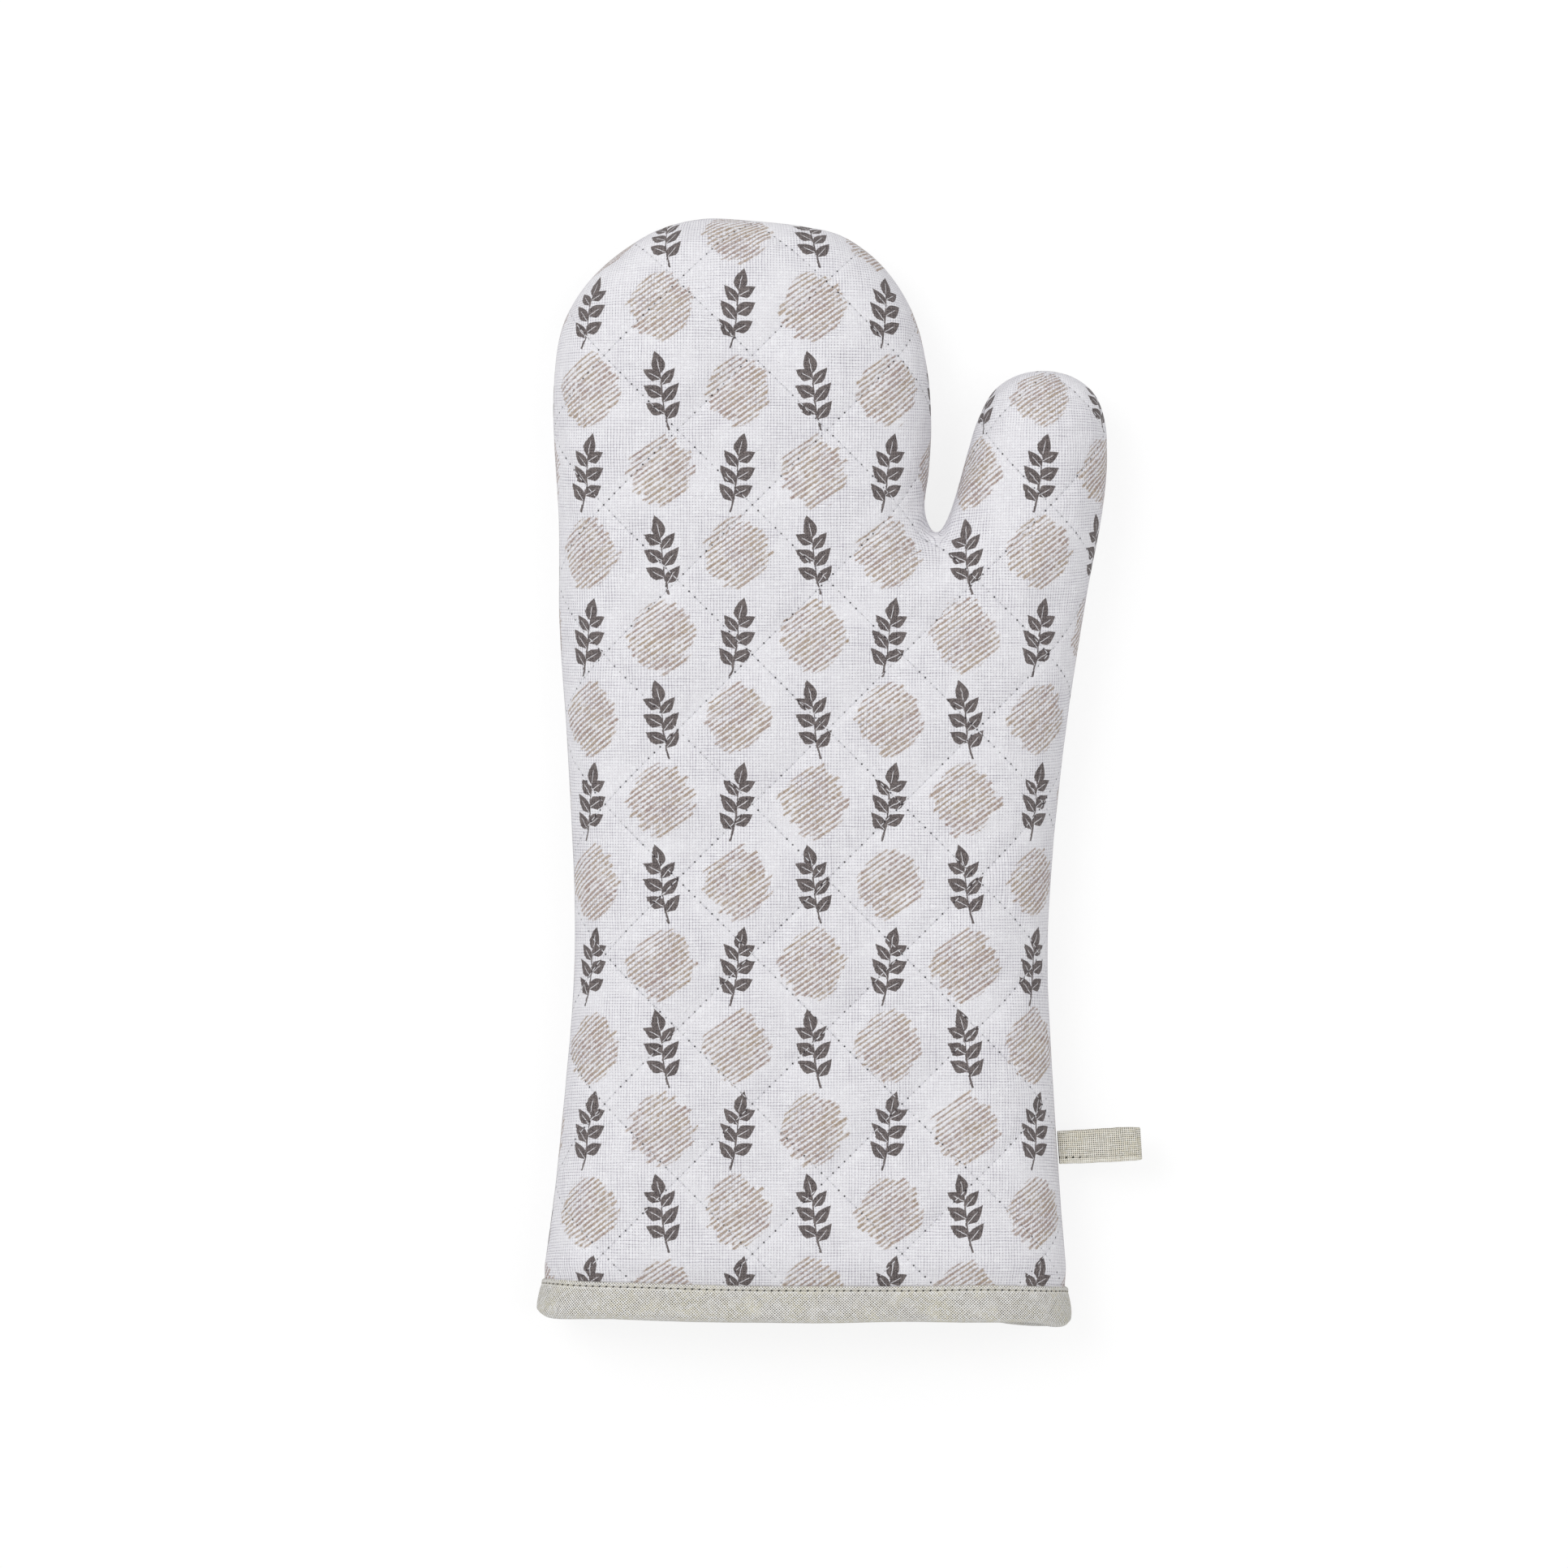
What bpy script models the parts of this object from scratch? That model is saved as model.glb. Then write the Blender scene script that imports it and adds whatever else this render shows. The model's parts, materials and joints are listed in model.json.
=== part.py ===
"""A quilted oven glove lying on its back: two padded panels, a bound cuff and a hanging loop.

Lengths are in metres. +Z is up, +Y runs from the cuff to the fingertips, and +X is the thumb's side.
Each panel is a cover, a wadding and a lining, nested one inside the other. All three follow one
surface, which rises from the side seam on a quarter ellipse and is measured from the seam inwards.
"""

import math

import bpy
import numpy as np
from mathutils import Matrix, Vector
from mathutils.geometry import delaunay_2d_cdt

MM = 0.001

# The glove seen from the front. Across is measured from the middle of the cuff.
CLOTH_LENGTH = 348.4 * MM
CUFF_WIDTH = 169.6 * MM
WAIST_WIDTH = 150.5 * MM
WAIST_MIDDLE = 2.3 * MM
WAIST_HEIGHT = 114.4 * MM
FINGERS_LEFT = 79.7 * MM
FINGERS_WIDTH = 120.1 * MM
CROTCH_ACROSS = 41.9 * MM
CROTCH_HEIGHT = 249.1 * MM
CROTCH_WIDTH = 3.6 * MM
THUMB_RIGHT = 96.4 * MM
THUMB_WIDTH = 45.0 * MM
THUMB_RISE = 51.3 * MM  # above the crotch

# The outline between those sizes, as shares of the stretch that each table belongs to
CUFF_TO_WAIST_SHARES = ((0.60, 0.30), (0.24, 0.65))
WAIST_TO_FINGERS_SHARES = ((0.12, 0.29), (0.40, 0.54), (0.72, 0.80))
FINGERS_SHARES = (
    (0.015, 0.02), (0.0, 0.42), (0.025, 0.655), (0.085, 0.785), (0.17, 0.885), (0.28, 0.965),
    (0.40, 0.997), (0.53, 0.99), (0.66, 0.968), (0.76, 0.94), (0.86, 0.85), (0.945, 0.70),
    (0.985, 0.53), (1.0, 0.34), (0.994, 0.19), (0.985, 0.075),
)
THUMB_SHARES = (
    (-0.12, 0.13), (-0.06, 0.30), (0.007, 0.51), (0.076, 0.70), (0.19, 0.875), (0.35, 0.968),
    (0.54, 1.0), (0.74, 0.965), (0.90, 0.86), (0.98, 0.70), (1.0, 0.47), (0.97, 0.15),
)
THUMB_TO_WAIST_SHARES = ((0.62, 0.82), (0.32, 0.545), (0.09, 0.25))

# The panels' rise from the side seam
FRONT_RISE = 20.8 * MM
BACK_RISE = 15.2 * MM
FRONT_SPAN = 30.0 * MM
BACK_SPAN = 27.0 * MM
SEAM_SLIT = 0.3 * MM

# The layers, from the outside in
COVER = 0.5 * MM
WADDING = 2.2 * MM
LINING = 0.4 * MM
LAYER_GAP = 0.3 * MM

# The quilting, which is sewn in squares that stand on their corners
QUILT_PITCH = 33.5 * MM
QUILT_ANGLE = math.radians(45)
QUILT_CROSSING_ACROSS = 7.4 * MM
QUILT_CROSSING_UP = 233.8 * MM
FRONT_PUFF = 1.2 * MM
BACK_PUFF = 0.8 * MM
PUFF_TOP_SHARE = 0.2
QUILT_MARGIN = 12.5 * MM

# The bias binding round the cuff
BINDING_HEIGHT = 11.0 * MM
BINDING = 1.0 * MM
BINDING_GAP = 0.3 * MM
BINDING_FOLD_GAP = 0.6 * MM
BINDING_FOLD = 0.8 * MM
BINDING_STITCH_DROP = 1.8 * MM
BINDING_PRESS = 1.4 * MM

# The overlocked seam allowance inside the glove
ALLOWANCE_DEPTH = 5.0 * MM
ALLOWANCE_THICKNESS = 4.4 * MM
ALLOWANCE_GAP = 0.9 * MM

# The hanging loop of folded tape
LOOP_HEIGHT = 55.4 * MM
LOOP_WIDTH = 10.4 * MM
LOOP_REACH = 26.3 * MM
LOOP_ROOT = 2.8 * MM
LOOP_BULGE = 6.8 * MM
LOOP_TAPE = 1.0 * MM
LOOP_GAP = 0.3 * MM
LOOP_SIDE_SHARES = ((0.18, 0.56), (0.38, 0.84), (0.60, 1.0), (0.78, 0.97), (0.91, 0.70), (0.98, 0.34))
LOOP_EYE_SHARES = ((0.34, 0.42), (0.48, 0.84), (0.64, 1.0), (0.78, 0.95), (0.89, 0.58))
LOOP_STITCH_EDGE = 2.0 * MM
LOOP_STITCH_START = 4.2 * MM

# The sewing thread
THREAD = 0.5 * MM
THREAD_GAP = 0.3 * MM

# How finely the surfaces are divided
SEAM_STEP = 14.0 * MM
SEAM_TURN = math.radians(26)
FINE_STEP = 2.0 * MM
RINGS = (1.6 * MM, 7.5 * MM)
CUFF_RINGS = (15.0 * MM, 24.0 * MM)
CUFF_MIDDLE_STEPS = 6
SLOPE_STEP = 0.02 * MM
SAME_POINT = 0.001 * MM
ROOT_ARC_STEPS = 6


def material(name, colour, roughness):
    """A matt cloth of one colour."""
    cloth = bpy.data.materials.new(name)
    cloth.use_nodes = True
    shader = cloth.node_tree.nodes["Principled BSDF"]
    shader.inputs["Base Color"].default_value = (*colour, 1.0)
    shader.inputs["Roughness"].default_value = roughness
    shader.inputs["Metallic"].default_value = 0.0
    return cloth


def between(start, end, shares):
    """Points from start to end, each at its share across and its share up."""
    return [
        (start[0] + across * (end[0] - start[0]), start[1] + up * (end[1] - start[1]))
        for across, up in shares
    ]


def outline_points():
    """The side seam's own points, from the cuff's left end round to its right end."""
    cuff_left = (-CUFF_WIDTH / 2, 0)
    cuff_right = (CUFF_WIDTH / 2, 0)
    waist_left = (WAIST_MIDDLE - WAIST_WIDTH / 2, WAIST_HEIGHT)
    waist_right = (WAIST_MIDDLE + WAIST_WIDTH / 2, WAIST_HEIGHT)
    fingers_low = (-FINGERS_LEFT, CROTCH_HEIGHT)
    fingers_high = (FINGERS_WIDTH - FINGERS_LEFT, CLOTH_LENGTH)
    thumb_low = (THUMB_RIGHT - THUMB_WIDTH, CROTCH_HEIGHT)
    thumb_high = (THUMB_RIGHT, CROTCH_HEIGHT + THUMB_RISE)
    thumb_foot = (THUMB_RIGHT, CROTCH_HEIGHT)
    crotch_side = CROTCH_WIDTH / 2
    left = between(waist_left, cuff_left, [(a, 1 - u) for a, u in CUFF_TO_WAIST_SHARES])
    left += [waist_left] + between(waist_left, fingers_low, WAIST_TO_FINGERS_SHARES)
    crotch = [
        (CROTCH_ACROSS - crotch_side, CROTCH_HEIGHT + crotch_side),
        (CROTCH_ACROSS, CROTCH_HEIGHT),
        (CROTCH_ACROSS + crotch_side, CROTCH_HEIGHT + crotch_side),
    ]
    right = between(waist_right, thumb_foot, THUMB_TO_WAIST_SHARES)
    low = between(waist_right, cuff_right, [(a, 1 - u) for a, u in CUFF_TO_WAIST_SHARES[::-1]])
    return np.array(
        [cuff_left]
        + left
        + between(fingers_low, fingers_high, FINGERS_SHARES)
        + crotch
        + between(thumb_low, thumb_high, THUMB_SHARES)
        + right
        + [waist_right]
        + low
        + [cuff_right]
    )


def curve_through(points):
    """A smooth line through the points, a centripetal Catmull-Rom curve in fine steps."""
    first = 2 * points[0] - points[1]
    last = 2 * points[-1] - points[-2]
    ends = np.vstack([first, points, last])
    line = []
    for a, b, c, d in zip(ends, ends[1:], ends[2:], ends[3:]):
        spans = [math.sqrt(np.linalg.norm(q - p)) for p, q in ((a, b), (b, c), (c, d))]
        t0, t1 = 0, spans[0]
        t2, t3 = spans[0] + spans[1], sum(spans)
        steps = max(2, math.ceil(np.linalg.norm(c - b) / FINE_STEP))
        for t in np.linspace(t1, t2, steps, endpoint=False):
            ab = a + (b - a) * (t - t0) / (t1 - t0)
            bc = b + (c - b) * (t - t1) / (t2 - t1)
            cd = c + (d - c) * (t - t2) / (t3 - t2)
            abc = ab + (bc - ab) * (t - t0) / (t2 - t0)
            bcd = bc + (cd - bc) * (t - t1) / (t3 - t1)
            line.append(abc + (bcd - abc) * (t - t1) / (t2 - t1))
    line.append(points[-1])
    return np.array(line)


def inward_normals(line):
    """The unit normals of the seam in its plane, towards the glove."""
    along = np.gradient(line, axis=0)
    along /= np.linalg.norm(along, axis=1)[:, None]
    return np.stack([along[:, 1], -along[:, 0]], axis=1)


def seam_stations(line):
    """The seam's stations: its ends, the binding's top edge, and steps by length and by turn."""
    lengths = np.linalg.norm(np.diff(line, axis=0), axis=1)
    along = np.concatenate([[0], np.cumsum(lengths)])
    heading = np.unwrap(np.arctan2(*np.diff(line, axis=0).T[::-1]))
    turns = np.concatenate([[0], np.abs(np.diff(heading)), [0]])
    measure = along / SEAM_STEP + np.cumsum(turns) / SEAM_TURN
    middle = len(line) // 2
    low = np.interp(BINDING_HEIGHT, line[:middle, 1], along[:middle])
    high = np.interp(BINDING_HEIGHT, line[:middle:-1, 1], along[:middle:-1])
    start, end = np.interp([low, high], along, measure)
    marks = np.linspace(start, end, math.ceil(end - start) + 1)
    places = np.concatenate([[0], np.interp(marks, measure, along), [along[-1]]])
    points = np.stack([np.interp(places, along, line[:, k]) for k in (0, 1)], axis=1)
    normals = inward_normals(line)
    normals = np.stack([np.interp(places, along, normals[:, k]) for k in (0, 1)], axis=1)
    normals[[0, 1]] = (1, 0)
    normals[[-2, -1]] = (-1, 0)
    return points, normals / np.linalg.norm(normals, axis=1)[:, None]


def seam_pull(points, line):
    """The integral of distance to the power -4 along the seam, for each point."""
    longer = np.vstack([line[0] - (0, CLOTH_LENGTH), line, line[-1] - (0, CLOTH_LENGTH)])
    start, run = longer[:-1], np.diff(longer, axis=0)
    length = np.linalg.norm(run, axis=1)
    unit = run / length[:, None]
    away = points[:, None, :] - start[None]
    along = (away * unit).sum(2)
    off = np.abs(away[..., 0] * unit[:, 1] - away[..., 1] * unit[:, 0])
    off = np.maximum(off, SAME_POINT)
    total = 0
    for s, sign in ((length - along, 1), (-along, -1)):
        total = total + sign * (
            s / (2 * off**2 * (off**2 + s**2)) + np.arctan(s / off) / (2 * off**3)
        )
    return total.sum(1)


def seam_distance(points, line):
    """A smooth distance from the seam, which has no ridge along the middle of the glove."""
    return (2 * seam_pull(points, line) / math.pi) ** (-1 / 3)


def seam_slope(points, line):
    """The unit direction in which the smooth distance grows."""
    slope = [
        seam_distance(points + step, line) - seam_distance(points - step, line)
        for step in ((SLOPE_STEP, 0), (0, SLOPE_STEP))
    ]
    slope = np.stack(slope, axis=1)
    return slope / np.maximum(np.linalg.norm(slope, axis=1), np.finfo(float).tiny)[:, None]


def true_distance(points, line):
    """The shortest distance from each point to the seam."""
    start, run = line[:-1], np.diff(line, axis=0)
    away = points[:, None, :] - start[None]
    share = np.clip((away * run).sum(2) / (run**2).sum(1), 0, 1)
    return np.linalg.norm(away - share[..., None] * run, axis=2).min(1)


def inside(points, line):
    """Whether each point is inside the outline that the cuff's edge closes."""
    x, y = points[:, :1], points[:, 1:]
    a, b = line, np.roll(line, -1, axis=0)
    crossing = (a[:, 1] > y) != (b[:, 1] > y)
    rise = np.where(b[:, 1] == a[:, 1], 1, b[:, 1] - a[:, 1])
    at = a[:, 0] + (y - a[:, 1]) / rise * (b[:, 0] - a[:, 0])
    return (crossing & (x < at)).sum(1) % 2 == 1


def quilt_points(line):
    """The quilting's points and the sewn lines between them, away from the seam and the cuff.

    Each square has a point on every corner and half-way along every side, which stay low, and four
    points round its middle, which carry its flat top.
    """
    reach = math.ceil(CLOTH_LENGTH / QUILT_PITCH) + 2
    turn = np.array(
        [
            [math.cos(QUILT_ANGLE), math.sin(QUILT_ANGLE)],
            [-math.sin(QUILT_ANGLE), math.cos(QUILT_ANGLE)],
        ]
    )
    crossing = np.array([QUILT_CROSSING_ACROSS, QUILT_CROSSING_UP])
    span = range(-2 * reach, 2 * reach + 1)
    sewn = [(i, j) for i in span for j in span if i % 2 == 0 or j % 2 == 0]
    corner = 2 * PUFF_TOP_SHARE
    tops = [
        (i + across, j + up)
        for i in span
        for j in span
        if i % 2 == 1 and j % 2 == 1
        for across in (-corner, corner)
        for up in (-corner, corner)
    ]

    def placed(steps):
        return crossing + np.array(steps) * QUILT_PITCH / 2 @ turn

    def kept(points):
        near_cuff = points[:, 1] < BINDING_HEIGHT + QUILT_MARGIN / 2
        here = inside(points, line) & ~near_cuff
        here[here] = true_distance(points[here], line) > QUILT_MARGIN
        return here

    low, high = placed(sewn), placed(tops)
    low_kept, high_kept = kept(low), kept(high)
    index = {step: n for n, step in enumerate(s for s, k in zip(sewn, low_kept) if k)}
    lines = []
    for (i, j), n in index.items():
        if j % 2 == 0 and (i + 1, j) in index:
            lines.append((n, index[(i + 1, j)]))
        if i % 2 == 0 and (i, j + 1) in index:
            lines.append((n, index[(i, j + 1)]))
    return low[low_kept], high[high_kept], lines


def cuff_row(point_left, point_right):
    """One row of points across the cuff, with the same shares at each height."""
    insets = (0, *RINGS, *CUFF_RINGS)
    left = [point_left[0] + inset for inset in insets]
    right = [point_right[0] - inset for inset in insets]
    middle = np.linspace(left[-1], right[-1], CUFF_MIDDLE_STEPS + 1)[1:-1]
    across = [*left, *middle, *right[::-1]]
    return np.array([(x, point_left[1]) for x in across])


class Plan:
    """The panels' common plan: points, triangles, edge points and how high each point may puff."""

    def __init__(self):
        self.line = curve_through(outline_points())
        self.seam, self.seam_in = seam_stations(self.line)
        rows = [cuff_row(self.seam[k], self.seam[-1 - k]) for k in (0, 1)]
        inner = len(RINGS) + 1
        rings = [self.seam] + [self.seam + ring * self.seam_in for ring in RINGS]
        low, high, sewn = quilt_points(self.line)
        points = np.vstack([*rings, rows[0][inner:-inner], rows[1][inner:-inner], low, high])
        count = len(self.seam)
        edges = [
            (ring * count + n, ring * count + n + 1)
            for ring in range(inner)
            for n in range(count - 1)
        ]
        start = inner * count
        width = len(rows[0]) - 2 * inner
        for row in (0, 1):
            left = [ring * count + row for ring in range(inner)]
            right = [ring * count + count - 1 - row for ring in range(inner)]
            first = start + row * width
            chain = [*left, *range(first, first + width), *right[::-1]]
            edges += list(zip(chain, chain[1:]))
        edges += [(start + n, start + width + n) for n in range(width)]
        first = start + 2 * width
        edges += [(first + a, first + b) for a, b in sewn]
        vertices, _, faces, origins, _, _ = delaunay_2d_cdt(
            [Vector(p) for p in points], edges, [], 1, SAME_POINT
        )
        self.points = np.array([tuple(v) for v in vertices])
        self.faces = faces
        self.normals_in = np.zeros_like(self.points)
        self.on_seam = np.zeros(len(vertices), bool)
        self.puffs = np.zeros(len(vertices))
        for n, origin in enumerate(origins):
            if min(origin, default=count) < count:
                self.on_seam[n] = True
                self.normals_in[n] = self.seam_in[min(origin)]
            if max(origin, default=0) >= first + len(low):
                self.puffs[n] = 1
        self.pressed = self.points[:, 1] < BINDING_HEIGHT + SAME_POINT
        self.distance = np.zeros(len(vertices))
        free = ~self.on_seam
        self.distance[free] = seam_distance(self.points[free], self.line)
        self.normals_in[free] = seam_slope(self.points[free], self.line)


def rising(points, distance, inwards, rise, span):
    """A panel's surface and its outward normals, for points at their distances from the seam."""
    level = 1 - np.clip(distance / span, 0, 1)
    height = np.sqrt(1 - level**2)
    flat = inwards.copy()
    flat[points[:, 1] < BINDING_HEIGHT + SAME_POINT, 1] = 0
    flat /= np.maximum(np.linalg.norm(flat, axis=1), np.finfo(float).tiny)[:, None]
    normals = np.column_stack([-rise * level[:, None] * flat, span * height])
    normals /= np.linalg.norm(normals, axis=1)[:, None]
    return np.column_stack([points, rise * height]), normals


SIDES = {
    "front": (1, FRONT_RISE, FRONT_SPAN, FRONT_PUFF),
    "back": (-1, BACK_RISE, BACK_SPAN, BACK_PUFF),
}


def rim_lift(side, thickness):
    """How far a layer's outer rim stands off the seam's plane, so that its inner rim clears it."""
    _, rise, span, _ = SIDES[side]
    level = 1 - RINGS[0] / span
    return thickness * RINGS[0] / (rise * math.sqrt(1 - level**2))


def panel_surface(plan, side, depth, puff, thickness, press):
    """One layer's outer surface, at a depth below the panel's own.

    The quilting's puffs raise it, and the binding presses it in along the cuff.
    """
    sign, rise, span, _ = SIDES[side]
    points, normals = rising(plan.points, plan.distance, plan.normals_in, rise, span)
    lift = plan.puffs * puff * np.clip(plan.distance / span, 0, 1) - depth - plan.pressed * press
    points = points + lift[:, None] * normals
    points[plan.on_seam, 2] = rim_lift(side, thickness)
    points[:, 2] = sign * (points[:, 2] + SEAM_SLIT / 2)
    return points


def layer(plan, side, name, depth, thickness, puffs, presses, cloth):
    """A layer of a panel: an open surface, given its thickness inwards.

    The layer's outer and inner faces each have their own puff, and their own press at the cuff.
    """
    sign = SIDES[side][0]
    faces = [face if sign > 0 else face[::-1] for face in plan.faces]
    mesh = bpy.data.meshes.new(name)
    puff, inner_puff = puffs
    press, inner_press = presses
    surface = panel_surface(plan, side, depth, puff, thickness, press)
    mesh.from_pydata(surface.tolist(), [], faces)
    mesh.validate()
    mesh.materials.append(cloth)
    mesh.shade_smooth()
    piece = bpy.data.objects.new(name, mesh)
    solid = piece.modifiers.new("Thickness", "SOLIDIFY")
    most = thickness + puff - inner_puff
    solid.thickness = most
    solid.offset = -1
    if puff > inner_puff:
        group = piece.vertex_groups.new(name="Loft")
        raised = plan.puffs * np.clip(plan.distance / SIDES[side][2], 0, 1)
        lofts = thickness + raised * (puff - inner_puff) - plan.pressed * (press - inner_press)
        for n, loft in enumerate(lofts):
            group.add([n], loft / most, "REPLACE")
        solid.vertex_group = group.name
    return piece


def panel(plan, side, cloths):
    """The three layers of one panel."""
    puff = SIDES[side][3]
    wadding_depth = COVER + LAYER_GAP
    lining_depth = wadding_depth + WADDING + LAYER_GAP
    press = BINDING_PRESS
    cover = (0, COVER, (puff, puff), (press, press), cloths["print"])
    wadding = (wadding_depth, WADDING, (puff, 0), (press, 0), cloths["wadding"])
    lining = (lining_depth, LINING, (0, 0), (0, 0), cloths["lining"])
    return [
        layer(plan, side, f"{side}_cover", *cover),
        layer(plan, side, f"{side}_wadding", *wadding),
        layer(plan, side, f"{side}_lining", *lining),
    ]


def panel_depth():
    """The thickness of all of a panel's layers at a quilting line."""
    return COVER + LAYER_GAP + WADDING + LAYER_GAP + LINING


def mouth(plan, row, out, drop=0):
    """A closed loop round the cuff at one of its two rows, so far out from the panels."""
    seam_left, seam_right = plan.seam[row], plan.seam[-1 - row]
    across = cuff_row(seam_left, seam_right)
    distance = seam_distance(across[1:-1], plan.line)
    distance = np.concatenate([[0], distance, [0]])
    inwards = np.where(across[:, 0] < (seam_left[0] + seam_right[0]) / 2, 1, -1)
    inwards = np.column_stack([inwards, np.zeros(len(across))]).astype(float)
    loops = []
    for sign, rise, span, _ in SIDES.values():
        points, normals = rising(across, distance, inwards, rise, span)
        points = points + out * normals
        points[1:-1, 2] += SEAM_SLIT / 2
        points[:, 2] *= sign
        loops.append(points)
    front, back = loops
    loop = np.vstack([front, back[-2:0:-1]])
    return loop - (0, drop, 0)


def ring_surface(name, loops, cloth):
    """An open surface through closed loops that all have the same number of points."""
    count = len(loops[0])
    faces = [
        (b * count + n, b * count + (n + 1) % count, a * count + (n + 1) % count, a * count + n)
        for a, b in zip(range(len(loops)), range(1, len(loops)))
        for n in range(count)
    ]
    mesh = bpy.data.meshes.new(name)
    mesh.from_pydata(np.vstack(loops).tolist(), [], faces)
    mesh.materials.append(cloth)
    mesh.shade_smooth()
    mesh.set_sharp_from_angle(angle=SEAM_TURN)
    return bpy.data.objects.new(name, mesh)


def cuff_binding(plan, cloth):
    """The tape folded over the cuff's edge: an outer leg, a fold below and an inner leg."""
    outer = BINDING_GAP + BINDING - BINDING_PRESS
    inner = -(panel_depth() + BINDING_GAP + BINDING)
    drop = BINDING_FOLD_GAP + BINDING
    loops = [
        mouth(plan, 1, outer),
        mouth(plan, 0, outer, drop - BINDING_FOLD),
        mouth(plan, 0, outer - BINDING_FOLD, drop),
        mouth(plan, 0, inner + BINDING_FOLD, drop),
        mouth(plan, 0, inner, drop - BINDING_FOLD),
        mouth(plan, 1, inner),
    ]
    piece = ring_surface("cuff_binding", loops, cloth)
    solid = piece.modifiers.new("Thickness", "SOLIDIFY")
    solid.thickness = BINDING
    solid.offset = -1
    solid.use_even_offset = True
    return piece


def thread(name, points, closed, cloth):
    """A sewing thread along a line of points."""
    curve = bpy.data.curves.new(name, "CURVE")
    curve.dimensions = "3D"
    curve.bevel_depth = THREAD / 2
    curve.bevel_resolution = 1
    curve.use_fill_caps = True
    spline = curve.splines.new("POLY")
    spline.points.add(len(points) - 1)
    for place, point in zip(spline.points, points):
        place.co = (*point, 1)
    spline.use_cyclic_u = closed
    curve.materials.append(cloth)
    return bpy.data.objects.new(name, curve)


def binding_threads(plan, cloth):
    """The row of stitching along the binding's edge: one thread outside, one inside."""
    share = 1 - BINDING_STITCH_DROP / BINDING_HEIGHT
    clear = BINDING_GAP + BINDING + THREAD_GAP + THREAD / 2
    outer = clear - BINDING_PRESS
    inner = -(panel_depth() + clear)
    pieces = []
    for name, out in (("binding_needle_thread", outer), ("binding_bobbin_thread", inner)):
        low, high = mouth(plan, 0, out), mouth(plan, 1, out)
        pieces.append(thread(name, low + share * (high - low), True, cloth))
    return pieces


def flat_shape(name, outlines, height, cloth):
    """A flat outline, with any holes, given its height."""
    curve = bpy.data.curves.new(name, "CURVE")
    curve.dimensions = "2D"
    curve.fill_mode = "BOTH"
    curve.extrude = height / 2
    for outline in outlines:
        spline = curve.splines.new("POLY")
        spline.points.add(len(outline) - 1)
        for place, (x, y) in zip(spline.points, outline):
            place.co = (x, y, 0, 1)
        spline.use_cyclic_u = True
    curve.materials.append(cloth)
    return bpy.data.objects.new(name, curve)


def seam_allowance(plan, cloth):
    """The layers' cut edges, overlocked together, as a ridge inside the side seam."""
    seam, inwards = plan.seam[2:-2], plan.seam_in[2:-2]
    near = panel_depth() + ALLOWANCE_GAP
    outer = seam + near * inwards
    inner = seam + (near + ALLOWANCE_DEPTH) * inwards
    outline = np.vstack([outer, inner[::-1]])
    return flat_shape("seam_allowance", [outline], ALLOWANCE_THICKNESS, cloth)


def loop_side(shares, reach, half):
    """One side of the loop's outline, from its root to its end."""
    return [(along * reach, out * half) for along, out in shares]


def loop_frame(plan):
    """The loop's place: its hinge on the seam, +X outwards from it and +Y up."""
    right = len(plan.line) // 2
    heights = plan.line[:right:-1, 1]
    at = np.array([np.interp(LOOP_HEIGHT, heights, plan.line[:right:-1, k]) for k in (0, 1)])
    nearest = np.argmin(np.linalg.norm(plan.line[right:] - at, axis=1)) + right
    out = -inward_normals(plan.line)[nearest]
    hinge = at + (LOOP_GAP + LOOP_ROOT / 2) * out
    return Matrix(
        (
            (out[0], 0, out[1], hinge[0]),
            (out[1], 0, -out[0], hinge[1]),
            (0, 1, 0, 0),
            (0, 0, 0, 1),
        )
    )


def hanging_loop(place, cloth):
    """The tape's closed outline seen along the seam, with its eye, given the tape's width."""
    root, bulge = LOOP_ROOT / 2, LOOP_BULGE / 2
    reach = LOOP_REACH - root - LOOP_GAP
    side = loop_side(LOOP_SIDE_SHARES, reach, bulge)
    angles = np.linspace(-math.pi / 2, -3 * math.pi / 2, ROOT_ARC_STEPS + 1)
    arc = [(root * math.cos(a), root * math.sin(a)) for a in angles]
    outer = arc + side + [(reach, 0)] + [(x, -y) for x, y in side[::-1]]
    eye = loop_side(LOOP_EYE_SHARES, reach, bulge - LOOP_TAPE)
    start = (eye[0][0] - LOOP_TAPE, 0)
    hole = [start] + eye + [(reach - LOOP_TAPE, 0)] + [(x, -y) for x, y in eye[::-1]]
    piece = flat_shape("hanging_loop", [outer, hole], LOOP_WIDTH, cloth)
    piece.matrix_world = place
    return piece


def loop_thread(place, cloth):
    """The row of stitching along the loop's edge, out along one side and back along the other."""
    root, bulge = LOOP_ROOT / 2, LOOP_BULGE / 2
    reach = LOOP_REACH - root - LOOP_GAP
    clear = THREAD_GAP + THREAD / 2
    wide, long = (bulge + clear) / bulge, (reach + clear) / reach
    side = [
        (x * long, y * wide)
        for x, y in loop_side(LOOP_SIDE_SHARES, reach, bulge)
        if x > LOOP_STITCH_START
    ]
    low = LOOP_WIDTH / 2 - LOOP_STITCH_EDGE
    path = side + [(reach * long, 0)] + [(x, -y) for x, y in side[::-1]]
    piece = thread("loop_thread", [(x, y, low) for x, y in path], False, cloth)
    piece.matrix_world = place
    return piece


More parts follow.
